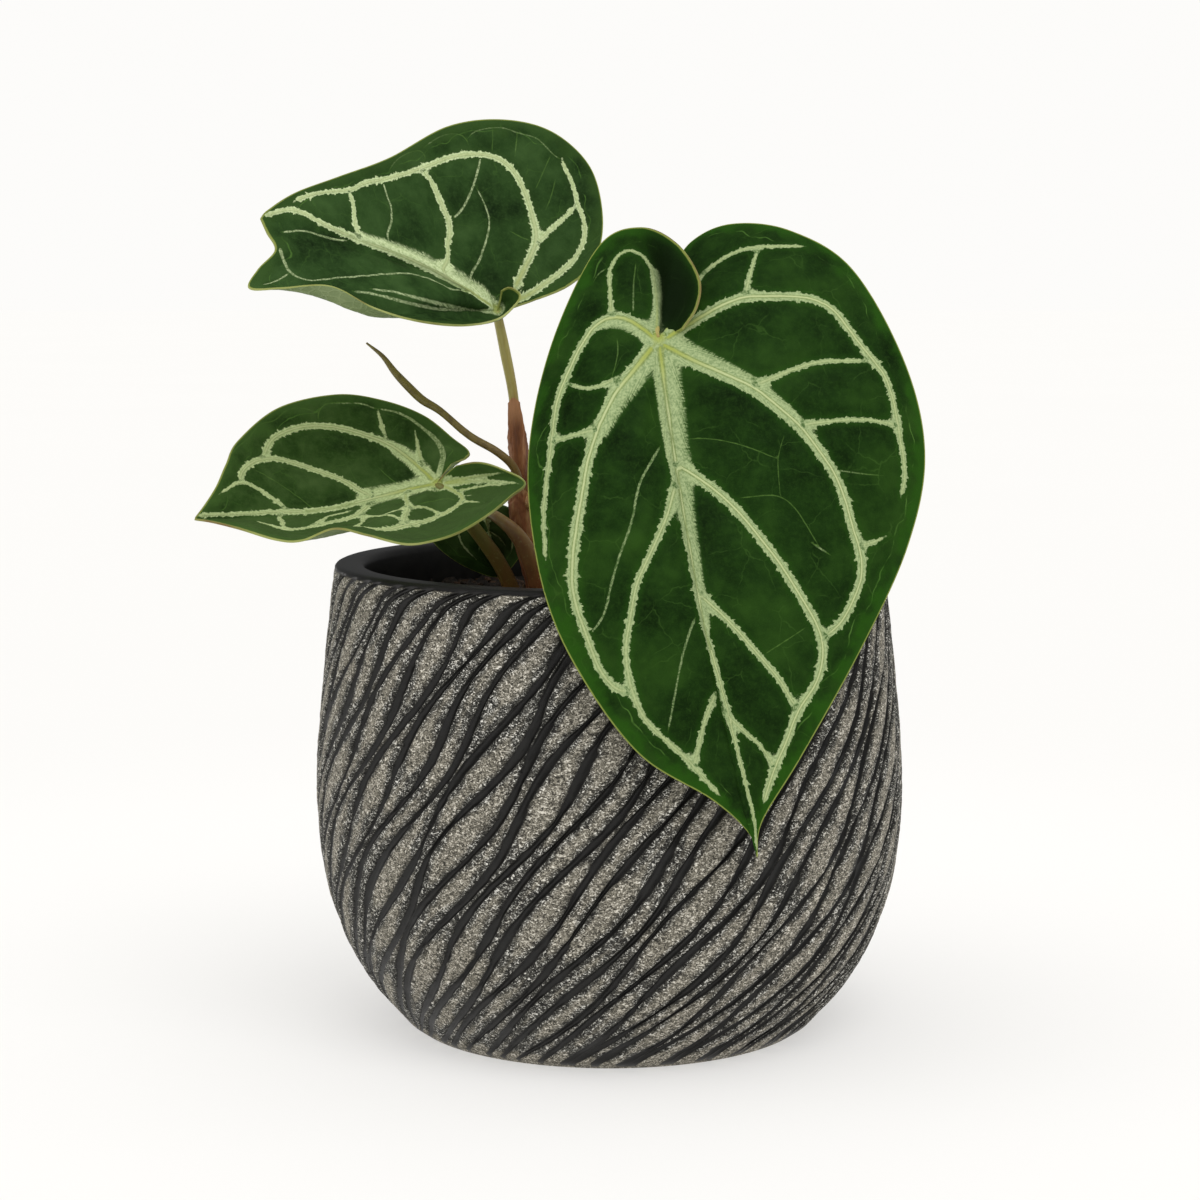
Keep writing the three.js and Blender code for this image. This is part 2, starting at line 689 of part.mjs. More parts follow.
function cutHoles(body) {
  let result = body;
  for (const piece of rootedStalks) {
    result = result.subtract(toManifold(stalk(piece.line, piece.radii, GAP)));
  }
  for (const piece of sheathShapes) {
    const widest = Math.max(...piece.outer);
    const lowPart = piece.line.slice(0, 2);
    result = result.subtract(toManifold(stalk(lowPart, [widest, widest], GAP, 12, 2)));
  }
  return largestPiece(result);
}

add('planter', planter(), PLANTER_GREY, 0.75);

const crown = cutHoles(crownBody(0));
const soil = cutHoles(toManifold(soilBody()).subtract(crownBody(GAP)));
add('potting_mix', fromManifold(soil), SOIL_BROWN, 0.95);
add('crown', fromManifold(crown), SHEATH_BROWN, 0.8);

// The stalk stops just under its blade.
function addLeaf(name, leaf, piece) {
  add(`${name}_blade`, blade(leaf), LEAF_GREEN, 0.55);
  const stem = toManifold(stalk(piece.line, piece.radii));
  const clear = stem.subtract(toManifold(blade(leaf, GAP)));
  add(`${name}_petiole`, fromManifold(largestPiece(clear)), STALK_OLIVE, 0.5);
}

addLeaf('front_leaf', FRONT_LEAF, FRONT_STALK);
addLeaf('upper_leaf', UPPER_LEAF, UPPER_STALK);
addLeaf('left_leaf', LEFT_LEAF, LEFT_STALK);
addLeaf('inner_leaf', INNER_LEAF, INNER_STALK);

const newLeaf = toManifold(stalk(
  [...NEW_STALK.line, ...NEW_BLADE.line.slice(1)],
  [...NEW_STALK.radii, ...NEW_BLADE.radii.slice(1)], 0, 8, 26));
add('new_leaf', fromManifold(newLeaf), STALK_OLIVE, 0.5);

add('upper_sheath', sheath(UPPER_SHEATH.line, UPPER_SHEATH.inner, UPPER_SHEATH.outer,
  UPPER_SHEATH.tip), SHEATH_BROWN, 0.6);

const bud = new THREE.SphereGeometry(1, 10, 6);
bud.scale(BUD.radius, BUD.radius, BUD.height);
bud.translate(...BUD.at);
bud.deleteAttribute('normal');
bud.deleteAttribute('uv');
const lowerSheath = toManifold(sheath(LOWER_SHEATH.line, LOWER_SHEATH.inner,
  LOWER_SHEATH.outer, LOWER_SHEATH.tip));
const budBody = wasm.Manifold.hull(Array.from(
  { length: bud.getAttribute('position').count },
  (_, k) => new THREE.Vector3().fromBufferAttribute(bud.getAttribute('position'), k).toArray()));
add('lower_sheath', fromManifold(lowerSheath.add(budBody)), SHEATH_BROWN, 0.6);

export default group;
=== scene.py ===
"""Potted silver blush anthurium, dressed for the studio.

The grooved planter, its potting mix, the crown with its stalks and sheaths, the
four open leaf blades with their pale veins, and one leaf still rolled.
Lengths are in millimetres until a mesh is made, which is in metres.
"""

import math

import bpy
import numpy as np
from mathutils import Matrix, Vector, geometry, kdtree


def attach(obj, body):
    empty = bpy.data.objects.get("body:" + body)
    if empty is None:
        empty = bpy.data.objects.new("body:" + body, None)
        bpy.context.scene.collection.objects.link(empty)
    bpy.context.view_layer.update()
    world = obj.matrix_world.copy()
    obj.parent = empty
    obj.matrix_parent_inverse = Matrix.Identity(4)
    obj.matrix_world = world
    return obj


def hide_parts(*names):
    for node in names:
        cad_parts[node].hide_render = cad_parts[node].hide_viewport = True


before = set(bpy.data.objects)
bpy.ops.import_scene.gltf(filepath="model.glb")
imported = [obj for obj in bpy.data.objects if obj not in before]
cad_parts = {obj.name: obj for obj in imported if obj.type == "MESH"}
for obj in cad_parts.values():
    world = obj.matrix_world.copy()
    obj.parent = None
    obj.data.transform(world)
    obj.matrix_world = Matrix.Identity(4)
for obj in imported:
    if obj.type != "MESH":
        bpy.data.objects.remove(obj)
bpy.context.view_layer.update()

MM = 0.001
FULL_TURN = 2 * math.pi

# Planter, as in the part's source. The wall is height and radius.
PLANTER_HEIGHT = 142
BASE_RADIUS = 62
RIM_INNER_RADIUS = 74.7
FLOOR_THICKNESS = 9
FOOT_RECESS = 1.2
SOIL_LEVEL = 130
WALL = [(0, 62), (4.3, 65.9), (14.2, 74.3), (28.3, 82.1), (45.4, 87.5), (63.8, 89.8), (75, 90),
        (85, 89.7), (113.4, 87.1), (136, 84.5), (142, 83.6)]
WALL_FOOT = 2
WALL_TOP = 141
GROOVE_LINES = 68
GROOVE_DEPTH = 1.2
GROOVE_SLANT = 1.05  # rise of a groove line for each mm round the foot
GROOVE_STEEPEN = 0.0035  # added to the slant for each mm of height
GROOVE_SWING = 1.6  # degrees that a line swings to either side
GROOVE_WAVE = 58  # mm of height for one full swing
GROOVE_DRIFT = (110, 90)  # degrees a wave drifts, three and seven times round
GROOVE_SCATTER = 130  # degrees that each wave's own start is off
GROOVE_HOOK = 4  # degrees that every line bends over below the lip
GROOVE_HOOK_RISE = 6
HOOK_TOP = 140.6
GROOVE_HALF_WIDTH = 0.82

# Leaves, as in the part's source: ribs of [edge point, middle point, sag].
FRONT_LEAF = {
    "join": [13.5, -62, 211.5],
    "midrib": [[40, -101, 71], [24, -96, 142]],
    "right": [
        [[41.5, -100, 81], [26.5, -91, 148]], [[52, -97, 98], [33.5, -87, 157]],
        [[69, -86, 126], [42, -82.5, 171]], [[83, -74, 153.5], [49, -77.5, 185]],
        [[88.5, -66, 178.5], [52, -72.5, 197.5]], [[83.5, -58, 204], [49, -66.5, 209.5]],
        [[69, -50, 230.5], [41.5, -61, 222.5]], [[51.5, -46, 241.5], [32.5, -56.5, 227.5]],
        [[35, -41, 243.5], [24.5, -50, 228]], [[23.5, -38.5, 238.5], [18.5, -47, 225.5]],
        [[17.5, -41, 229], [15.5, -50, 220.5]], [[14.5, -50, 219], [14, -56, 215.5]],
    ],
    "left": [
        [[37.5, -100.5, 78], [22, -93, 146]], [[27.5, -100, 87], [17, -90, 152]],
        [[8, -98.5, 99], [9.5, -89, 158.5]], [[-8, -94.5, 120], [3.5, -87, 168]],
        [[-18, -88, 141.5], [-2, -85, 174]], [[-23, -70, 168], [-4.5, -76, 189]],
        [[-21.5, -58, 191], [-4, -66, 202.5]], [[-14.5, -48, 215.5], [-0.5, -56, 216]],
        [[-3, -41, 237.5], [6, -50, 225.5]], [[8.5, -43, 242.5], [13, -50, 226]],
        [[18.5, -53, 238], [16, -56, 223.5]], [[24.5, -63, 228.5], [19, -60, 219.5]],
        [[24, -67, 220.5], [19, -62.5, 216]], [[20, -66, 214], [17, -62, 212.5]],
    ],
}

UPPER_LEAF = {
    "join": [-34, -4, 218],
    "midrib": [[-99.5, -47, 245], [-62.5, -22, 235]],
    "left": [
        [[-97.5, -45, 247.5], [-62.5, -22, 236.5]], [[-90.5, -38, 252.5], [-62, -19, 239]],
        [[-79, -26, 257.5], [-56.5, -12, 241.5]], [[-65.5, -10, 263.5], [-51, -6, 243.5]],
        [[-49, 6, 273.5], [-42, 1, 247]], [[-32.5, 15, 276], [-33.5, 6, 248]],
        [[-17.5, 20, 272.5], [-26, 9, 247]], [[-6, 21, 262], [-19.5, 10, 243]],
        [[-2, 16, 247], [-17.5, 8, 234.5]], [[-4, 10, 234], [-19.5, 4, 226]],
        [[-12, 4, 226], [-23, 1, 222]], [[-24, -1, 221], [-29, -3, 219.5]],
    ],
    "right": [
        [[-97.5, -49, 241], [-63, -22, 233]], [[-95, -51, 236], [-61.5, -24, 231.5]],
        [[-99.5, -56, 230.5], [-62, -29, 229.5]], [[-101.5, -60, 225.5], [-61, -34, 226.5]],
        [[-92.5, -60, 225.5], [-60, -38, 223.5], 2], [[-78.5, -62, 226], [-58, -36, 220], 5],
        [[-67, -56, 220], [-52, -32, 218], 2], [[-55, -45, 216], [-45.5, -24, 215.5]],
        [[-43, -32, 214.5], [-39, -16, 215]], [[-33.5, -20, 216], [-34, -11, 215.5]],
        [[-28.5, -13, 220], [-31.5, -7, 217]], [[-27, -8, 223], [-30.5, -5, 219]],
        [[-30, -6, 225], [-31.5, -4, 221]], [[-32.5, -6, 224], [-33, -5, 220.5]],
    ],
}

LEFT_LEAF = {
    "join": [-52, -12, 166.5],
    "midrib": [[-120, -46, 159], [-86, -24, 159.5]],
    "left": [
        [[-118, -43, 162], [-85.5, -22, 161]], [[-115, -36, 167.5], [-85, -18, 164.5]],
        [[-113, -29, 173.5], [-83.5, -14, 167.5]], [[-110.5, -20, 180], [-81.5, -10, 170.5]],
        [[-100, -6, 189], [-75, -4, 175.5]], [[-83.5, 5, 192.5], [-66.5, 0, 178]],
        [[-69.5, 9, 190.5], [-60.5, 1, 178]], [[-57, 7, 186], [-54.5, 0, 176]],
        [[-48, 2, 179.5], [-50.5, -3, 173.5]], [[-42.5, -3, 175], [-47.5, -6, 171]],
        [[-48, -7, 172], [-50, -9, 169.5]],
    ],
    "right": [
        [[-114.5, -49, 158.5], [-85.5, -25, 158.5]], [[-106, -54, 157], [-82.5, -29, 157.5]],
        [[-95, -60, 154.5], [-77.5, -34, 156]], [[-87.5, -63, 154.5], [-72.5, -38, 156.5]],
        [[-78, -64, 158], [-66, -40, 158]], [[-69, -62, 156], [-60.5, -38, 156.5]],
        [[-58.5, -58, 153], [-55, -34, 155.5]], [[-50.5, -53, 153.5], [-50, -29, 156.5]],
        [[-43, -46, 155.5], [-45, -25, 159.5]], [[-35, -39, 160], [-41.5, -21, 162.5]],
        [[-29, -33, 164.5], [-39.5, -18, 165]], [[-25, -28, 168], [-38, -16, 167.5]],
        [[-31, -22, 171], [-41.5, -14, 169]], [[-38.5, -17, 173], [-45, -13, 170.5]],
        [[-46, -13, 172], [-49, -12, 169.5]],
    ],
}

INNER_LEAF = {
    "join": [-38, -1, 156.5],
    "midrib": [[-33.5, 18, 134.5], [-36.5, 5, 147]],
    "right": [
        [[-30, 17, 138.5], [-34, 6, 148.5]], [[-26.5, 16, 144], [-32.5, 5.5, 152]],
        [[-26, 14, 150], [-32.5, 4, 155]], [[-28, 10, 155], [-33.5, 3, 157.5]],
        [[-31.5, 6, 158], [-35, 1.5, 158.5]], [[-35, 3, 159], [-37, 0.5, 158]],
    ],
    "left": [
        [[-38.5, 20, 135], [-38.5, 8, 147]], [[-47, 22, 138.5], [-43, 9, 149]],
        [[-54.5, 21, 144.5], [-46.5, 8.5, 153]], [[-57.5, 17, 151], [-48, 6.5, 156]],
        [[-55, 12, 157], [-47, 4.5, 158.5]], [[-49, 7, 160], [-44, 3, 159.5]],
        [[-42.5, 3, 160], [-40.5, 0.5, 158.5]],
    ],
}

# Veins of each half blade laid flat: width at the start, width at the end,
# and points x mm out from the midrib and y mm from the stalk to the tip.
FRONT_VEINS = {"right": [
    (3.4, 2, [(0, 1.5), (0, 86), (2.5, 110.5), (4.5, 140.5), (1, 149.5)]),
    (3, 2.4, [(0, 38), (9, 47), (15, 54.5), (24.5, 70), (32.5, 86.5), (34.5, 92.5), (33.5, 99.5),
        (30.5, 105.5), (25.5, 110), (20, 120), (16, 125), (9.5, 135.5)]),
    (2.4, 1.8, [(0.5, 75.5), (6.5, 82.5), (21, 102.5), (24.5, 110)]),
    (2, 1.3, [(0.5, 109), (12.5, 120), (15.5, 126)]),
    (4.2, 2.4, [(0.5, 2), (8.5, 9), (24.5, 20), (36, 33), (44, 47.5), (46, 56), (47, 64), (48.5, 69.5),
        (48, 77), (41, 88), (35.5, 91.5)]),
    (1.8, 1.4, [(24.5, 19), (43, 14), (57.5, 15)]),
    (1.8, 1.3, [(36, 32.5), (45, 32), (57, 32.5), (64.5, 34.5)]),
    (0.7, 0.5, [(44, 46), (50.5, 48), (58.5, 49)]),
    (1.4, 0.9, [(48.5, 68), (54, 67.5), (57, 66)]),
    (3.6, 1.6, [(1.5, 1), (20.5, -7), (27, -8), (45, -5.5), (51, -2), (58.5, 12.5), (63, 18.5),
        (64.5, 27), (65.5, 48.5), (63, 55.5)]),
    (1.6, 1.4, [(26.5, -9), (31.5, -23)]),
    (1.8, 1.2, [(14, -20), (19.5, -23.5), (26, -25.5), (46.5, -22.5)]),
    (1.8, 1.6, [(1.5, -0.5), (14, -20)]),
    (0.5, 0.4, [(15.5, 50.5), (27, 51), (31, 55.5), (36, 66.5)]),
    (0.9, 0.5, [(34, 65.5), (39.5, 70)]),
    (0.5, 0.4, [(4, 31.5), (10.5, 32.5), (18, 35.5), (27.5, 41)]),
    (0.4, 0.3, [(30.5, 35), (27.5, 41), (27, 51)]),
    (0.5, 0.4, [(16.5, 95), (30, 88.5)]),
], "left": [
    (2.4, 1.4, [(1, 44.5), (4.5, 53.5), (17.5, 72), (23.5, 89.5), (24, 99.5), (22.5, 108.5),
        (14, 121.5), (11.5, 127.5), (8.5, 132.5)]),
    (1.8, 1.3, [(1.5, 103.5), (7.5, 111.5), (13.5, 123)]),
    (1.2, 0.8, [(3.5, 33.5), (12.5, 44), (16.5, 56), (20, 62), (24, 71), (27, 80), (31.5, 84.5)]),
    (1, 0.7, [(2.5, 82), (9.5, 94), (17.5, 113)]),
    (3.6, 1.8, [(1.5, 2), (14.5, 15), (19.5, 23.5), (23, 31.5), (31, 60), (33, 70), (33, 77.5),
        (30.5, 94.5), (26.5, 101.5), (24.5, 100.5)]),
    (3.6, 1.3, [(1, 0.5), (7.5, -8), (11.5, -10.5), (18, -10), (25, -2.5), (30, 6.5), (33.5, 16.5),
        (34.5, 29), (37.5, 49), (38, 63)]),
    (1.5, 1.2, [(14, 11), (19, 13), (23.5, 13.5), (29, 9.5)]),
    (1.6, 1.4, [(20.5, 25), (34, 28.5)]),
    (1.3, 1.3, [(11.5, -11), (8.5, -27.5), (4.5, -31.5), (1, -32), (-2, -29.5), (-3, -24),
        (0.5, -1.5)]),
    (0.7, 0.5, [(5.5, -8.5), (3.5, -20.5), (1, -27.5)]),
    (0.7, 0.5, [(8.5, -27.5), (11.5, -27.5), (13.5, -24.5)]),
    (0.6, 0.5, [(12.5, -2), (13, 4.5), (15.5, 11)]),
]}
UPPER_VEINS = {"left": [
    (3.2, 1.6, [(0, 1.5), (0, 54.5), (1, 62.5), (2.5, 68.5), (4.5, 72.5), (4.5, 76), (0.5, 83.5)]),
    (2.2, 2, [(7, -3), (21, -5.5), (24.5, -5.5), (36, 0), (44, 6.5), (46.5, 13), (44.5, 20), (40, 27),
        (32.5, 33.5), (28, 38.5), (24.5, 45), (22.5, 52), (18, 56), (14.5, 64), (7, 74.5)]),
    (1.6, 1.4, [(22.5, -5.5), (33.5, -11), (39.5, -13)]),
    (2.4, 1.3, [(3, -2), (8, -8), (19.5, -16), (25.5, -18.5), (32.5, -19), (39.5, -15.5), (40, -13.5),
        (47.5, -10.5), (50.5, -7), (54, -5.5)]),
    (2.2, 1.8, [(0, 24), (2, 20.5), (12, 18.5), (17.5, 19.5), (28.5, 29.5), (31.5, 34)]),
    (1, 1, [(20, 20), (23.5, 18.5), (34.5, 17.5), (44.5, 18)]),
    (1.1, 0.7, [(2.5, 10.5), (10, 9), (24.5, 9), (29.5, 12), (34, 17)]),
    (2, 1.5, [(1, 55), (5.5, 53.5), (11.5, 54), (17.5, 56.5)]),
    (1.1, 0.8, [(1, 43), (10.5, 40.5), (16.5, 41.5), (24.5, 45)]),
    (0.5, 0.4, [(31.5, -21), (37, -23.5)]),
    (0.6, 0.4, [(22.5, -5), (24.5, 3)]),
    (0.5, 0.4, [(34, -5.5), (40, -6), (45.5, -5.5)]),
    (0.6, 0.5, [(27.5, 44), (29.5, 44.5), (33.5, 42.5), (38.5, 36.5), (35, 34)]),
    (0.6, 0.5, [(38.5, 36.5), (44, 33.5), (47.5, 29.5), (49, 25), (45.5, 22.5)]),
    (0.6, 0.6, [(48, 24), (50.5, 24), (56, 16), (57, 12.5), (56, 9.5), (58, 3), (53.5, -2),
        (53.5, -6)]),
    (0.6, 0.5, [(48.5, 8), (56, 9.5)]),
    (0.5, 0.4, [(40.5, -1), (53.5, -2)]),
    (0.5, 0.4, [(55, 17.5), (47, 15)]),
    (0.4, 0.4, [(58, 15.5), (56, 15)]),
], "right": [
    (1.24, 1.24, [(1, 14), (9.5, 23), (7.5, 29), (9, 37), (18.5, 51.5), (29, 69.5), (24, 74.5),
        (9, 78.5)]),
    (1.2, 0.9, [(24, 74.5), (31.5, 77.5), (34, 80.5)]),
    (1.24, 1.1, [(0.8, 1), (11, 15), (17, 25), (22, 35.5), (28.5, 53)]),
    (1.24, 1, [(0.5, 0.5), (3, 3), (12.5, 19.5), (18, 30.5), (25, 48.5)]),
    (1.2, 0.9, [(1, 57.5), (2.5, 62.5), (1.5, 73.5), (4.5, 76), (4, 78.5)]),
]}
LEFT_VEINS = {"left": [
    (3.2, 1.6, [(0, 0.5), (1, 11), (1, 21), (0, 33.5), (0.5, 45.5), (1.5, 52.5), (1.5, 75), (1, 77)]),
    (2, 1, [(3, 49), (14, 55.5), (16, 60), (10.5, 68)]),
    (2.4, 2.2, [(1.5, 21), (12, 28), (22.5, 42), (24, 47.5), (23, 53.5), (18.5, 59), (16, 59.5)]),
    (2.2, 3.2, [(24.5, 48.5), (29.5, 45), (32, 41), (34, 33), (33.5, 26.5), (31, 20), (23, 9.5),
        (13.5, 4.5), (1, 0.5)]),
    (1.8, 1, [(24, 8), (31, 7), (34, 5.5)]),
    (0.9, 0.5, [(34, 5.5), (38, 9.5), (40.5, 22)]),
    (1, 2.4, [(34.5, 5.5), (29.5, -1), (20.5, -5), (16, -6), (9, -5.5), (1.5, -0.5)]),
    (1.6, 0.7, [(10, 1.5), (22.5, -1.5)]),
    (0.5, 0.4, [(0, 40), (9, 44.5), (21, 54)]),
    (0.6, 0.4, [(3, 10.5), (8, 13.5), (13.5, 15.5)]),
    (0.5, 0.5, [(35, 26), (38, 25), (40, 22), (40.5, 18), (38.5, 12)]),
    (0.5, 0.4, [(38, 25), (40, 27), (41, 31.5), (39.5, 36.5), (36, 39.5), (37, 41.5), (36.5, 45.5),
        (31.5, 50), (28, 57), (25, 59.5)]),
], "right": [
    (1.6, 3, [(0.5, 0), (9.5, -5.5), (12.5, -6.5), (15.5, -4.5), (17, 0), (17, 4), (18.5, 8.5),
        (21.5, 14)]),
    (3, 1.8, [(20, 11), (21.5, 15), (30.5, 25.5), (31, 28.5), (29, 31), (23.5, 30.5), (15.5, 28.5)]),
    (1.5, 1.5, [(0, 9.5), (7, 10), (11.5, 11.5), (17, 14.5), (22.5, 16.5)]),
    (1.3, 0.9, [(11.5, 12), (9.5, 6.5), (11, 4.5), (17.5, 4)]),
    (0.5, 0.4, [(10.5, 10), (7.5, 5.5), (7.5, 1.5), (13.5, -4.5)]),
    (1.4, 0.8, [(12, 11), (11.5, 15.5), (12.5, 19.5)]),
    (1.3, 1.2, [(7.5, 24), (12.5, 19), (17, 18.5), (20, 15)]),
    (3, 2, [(1.5, 21.5), (7.5, 25.5), (10, 40)]),
    (2, 1.5, [(9, 36), (13.5, 52), (10, 55.5), (3, 59.5)]),
    (1.5, 1.5, [(7, 24), (10, 24), (16.5, 27), (18.5, 29.5)]),
    (1.9, 1.5, [(0, 51.5), (4, 51), (8.5, 52), (14, 52)]),
    (1.3, 1, [(9.5, 41), (5.5, 37), (4, 33.5), (3.5, 27)]),
    (2.2, 0.8, [(1, -1), (8, -22.5)]),
    (2, 0.9, [(1, -1), (8.5, -16), (15.5, -26.5)]),
    (1.4, 0.8, [(7.5, -5), (10, -14), (13.5, -22)]),
    (1.2, 0.4, [(11, -6), (13.5, -11)]),
    (1.5, 0.5, [(14.5, -5), (20, -13.5)]),
]}

# Wider pale patches beside a vein: [width at start, at end, line].
FRONT_PALE = {"right": [
    (4, 2.2, [(1.4, 3), (1.9, 20), (1.4, 38)]),
    (2.2, 0.4, [(1.4, 38), (0.6, 84)]),
    (3.4, 0.6, [(4.5, 3), (25, 20), (34, 30)]),
], "left": [
    (2.6, 0.6, [(1, 3), (0.4, 36)]),
    (2.8, 0.3, [(3, 6), (13.5, 17.5), (18, 24.5)]),
    (3.2, 0.6, [(2, -1), (11, -8), (16, -9)]),
    (1, 0.6, [(-0.6, -5), (-2.6, -14), (-3.4, -22)]),
]}
UPPER_PALE = {"left": [
    (5, 4, [(1.8, 3), (2.4, 24)]),
    (4, 1, [(2.4, 24), (0.8, 54)]),
], "right": []}
LEFT_PALE = {"left": [
    (4.6, 3.6, [(1.6, 2), (2.2, 12), (2, 24)]),
    (3.6, 2.6, [(4, 1.5), (12, 4), (20, 7.5)]),
], "right": [
    (1, 1.8, [(0.5, 2), (1.2, 22)]),
]}
INNER_PALE = {"right": [], "left": []}
INNER_VEINS = {"right": [
    (2, 1, [(0, 1), (0, 30)]),
    (1.6, 0.8, [(1, 2), (6, 4), (10, 9), (10, 15), (7, 21)]),
    (1, 0.6, [(0, 9), (4, 13), (6, 19)]),
], "left": [
    (1.8, 0.8, [(0, 1), (8, 4), (14, 9), (15, 16), (10, 23)]),
    (1.4, 0.7, [(1, 1), (10, -1), (19, 1), (23, 6)]),
    (1, 0.6, [(0, 9), (5, 13), (8, 20)]),
]}

# Stalks and sheaths, on the lines that they have in the part's source.
ROOTED = 124
FRONT_STALK = {
    "line": [(-12.5, -3, ROOTED), (-12, -6, 148), (-6, -17, 176), (2, -31, 199), (9, -45, 212),
             (12.6, -55, 214.5), (13.4, -60.6, 212.2)],
    "radii": [2.8, 2.5, 2.3, 2.2, 2.3, 2.1, 1.1],
}
UPPER_STALK = {
    "line": [(-21.5, 11, ROOTED), (-24, 8, 141), (-26.7, 5, 160), (-27.7, 3, 174),
             (-29.2, 1, 192), (-31.7, -1, 206), (-33.8, -3.4, 216.6)],
    "radii": [1.7, 1.6, 1.5, 1.5, 1.5, 1.6, 1.4],
}
LEFT_STALK = {
    "line": [(-27.5, -2, ROOTED), (-29.7, -4, 133), (-34.2, -6.5, 143), (-41.5, -9.5, 153.5),
             (-48, -12, 162), (-51.4, -12.2, 165.4)],
    "radii": [2.6, 2.5, 2.3, 2.1, 2, 1.6],
}
INNER_STALK = {
    "line": [(-19.5, -6, ROOTED), (-21.8, -8, 135), (-24.4, -10, 144.5), (-28, -11, 151),
             (-32.5, -9.5, 155), (-36.2, -4.5, 156.8), (-37.8, -1.9, 156.7)],
    "radii": [3.1, 2.9, 2.8, 2.7, 2.2, 1.7, 1.3],
}
NEW_LEAF = {
    "line": [(-20, 3, ROOTED), (-22.5, 1, 137), (-25.5, -1, 149), (-27.2, -2.6, 159),
             (-27.6, -4.2, 166.5), (-29.6, -5, 171.5), (-34.5, -5, 175.8), (-42.5, -3, 180.3),
             (-51.5, 0, 187.5), (-57, 1.6, 190.8), (-61, 3, 194.4), (-65.5, 5, 199),
             (-69.5, 7, 204), (-74.5, 9, 208)],
    "radii": [1.5, 1.5, 1.45, 1.4, 1.35, 1.3, 1.25, 1.2, 1.15, 1.15, 1.35, 1.25, 0.8, 0.3],
}
ROLLED_FROM = 8 / 13  # share of the new leaf's run that is stalk
UPPER_SHEATH = {
    "line": [(-22.3, 10, 129), *UPPER_STALK["line"][1:5]],
    "inner": 2.25,
    "outer": [3.1, 3.1, 3, 3, 2.9, 2.6],
    "tip": 0.4,
}
LOWER_SHEATH = {
    "line": [(-21, 2.3, 129), *NEW_LEAF["line"][1:5]],
    "inner": 2.15,
    "outer": [3.6, 3.9, 4, 3.7, 3],
    "tip": 0.3,
}
BUD_AT = (-24.3, -5.2, 160.4)
BUD_HALF = (1.6, 1.6, 2.4)
CROWN_CENTRE = (-20.5, 1.5, 126.5)
CROWN_HALF = (12, 11, 7)


def ease(a, b, x):
    """0 up to a, 1 from b on, and a smooth rise between."""
    t = np.clip((np.asarray(x, float) - a) / (b - a), 0, 1)
    return t * t * (3 - 2 * t)


def through(points, at):
    """A smooth run through a list of points; at counts the points from 0."""
    points = np.asarray(points, float)
    last = len(points) - 1
    at = np.atleast_1d(np.asarray(at, float))
    p = np.concatenate([2 * points[:1] - points[1:2], points, 2 * points[-1:] - points[-2:-1]])
    k = np.clip(np.floor(at).astype(int), 0, last - 1)
    f = (at - k).reshape(-1, *[1] * (points.ndim - 1))
    a, b, c, d = p[k], p[k + 1], p[k + 2], p[k + 3]
    return 0.5 * (2 * b + (c - a) * f + (2 * a - 5 * b + 4 * c - d) * f**2
                  + (3 * b - a - 3 * c + d) * f**3)


def unit(v):
    """Vectors of length 1 with the same directions."""
    return v / np.maximum(np.linalg.norm(v, axis=-1, keepdims=True), 1e-9)


def way_along(points):
    """How far along a line each of its points is."""
    return np.concatenate([[0], np.cumsum(np.linalg.norm(np.diff(points, axis=0), axis=1))])


def spread(points, travel, count):
    """That many points, evenly spaced along a line, and how far along each is."""
    at = np.linspace(0, travel[-1], count)
    return np.stack([np.interp(at, travel, column) for column in points.T], axis=1), at


def sampled(run, step):
    """Points every step along a smooth run, with their share of its length."""
    dense = through(run, np.linspace(0, len(run) - 1, (len(run) - 1) * 24 + 1))
    travel = way_along(dense)
    points, at = spread(dense, travel, max(2, int(travel[-1] / step) + 1))
    return points, at / travel[-1]


def waves(points, size, seed, count=12):
    """Smooth repeatable lumps, about -1 to 1, with features of that size."""
    rng = np.random.default_rng(seed)
    total = np.zeros(len(points))
    for _ in range(count):
        direction = unit(rng.normal(size=points.shape[1]))
        pitch = size * rng.uniform(0.7, 1.6)
        total += np.sin(points @ direction * FULL_TURN / pitch + rng.uniform(0, FULL_TURN))
    return total / math.sqrt(count / 2) / 1.6


def quad_faces(a, b, c, d):
    """Two triangles for each four corners."""
    return np.concatenate([np.stack([a, b, c], axis=1), np.stack([a, c, d], axis=1)])


def grid_faces(rows, columns):
    """Triangles between rings of points stored ring by ring."""
    c = np.arange(columns)
    n = (c + 1) % columns
    return np.concatenate([quad_faces(low + c, low + n, low + columns + n, low + columns + c)
                           for low in range(0, (rows - 1) * columns, columns)])


def fan_faces(ring, centre, flip=False):
    """Triangles from the points of a closed ring to one point."""
    after = np.roll(ring, -1)
    middle = np.full(len(ring), centre)
    return np.stack([after, ring, middle] if flip else [ring, after, middle], axis=1)


def capped_faces(rows, columns):
    """Triangles of a stack of rings and of its two end points, stored last."""
    size = rows * columns
    end = np.arange(columns)
    return np.concatenate([grid_faces(rows, columns), fan_faces(end, size, flip=True),
                           fan_faces(end + size - columns, size + 1)])


def ball_ring(tilt, around):
    """Points round a unit ball at one angle from its top."""
    return np.column_stack([math.sin(tilt) * np.cos(around), math.sin(tilt) * np.sin(around),
                            np.full(len(around), math.cos(tilt))])


def joined(parts):
    """Several (points, faces, fact) parts as one."""
    starts = np.cumsum([0, *(len(points) for points, _, _ in parts)])
    return (np.concatenate([points for points, _, _ in parts]),
            np.concatenate([faces + start for (_, faces, _), start in zip(parts, starts)]),
            np.concatenate([fact for _, _, fact in parts]))


def point_normals(points, faces):
    corner = points[faces]
    n = np.cross(corner[:, 1] - corner[:, 0], corner[:, 2] - corner[:, 0])
    total = np.zeros_like(points)
    for k in range(3):
        np.add.at(total, faces[:, k], n)
    return unit(total)


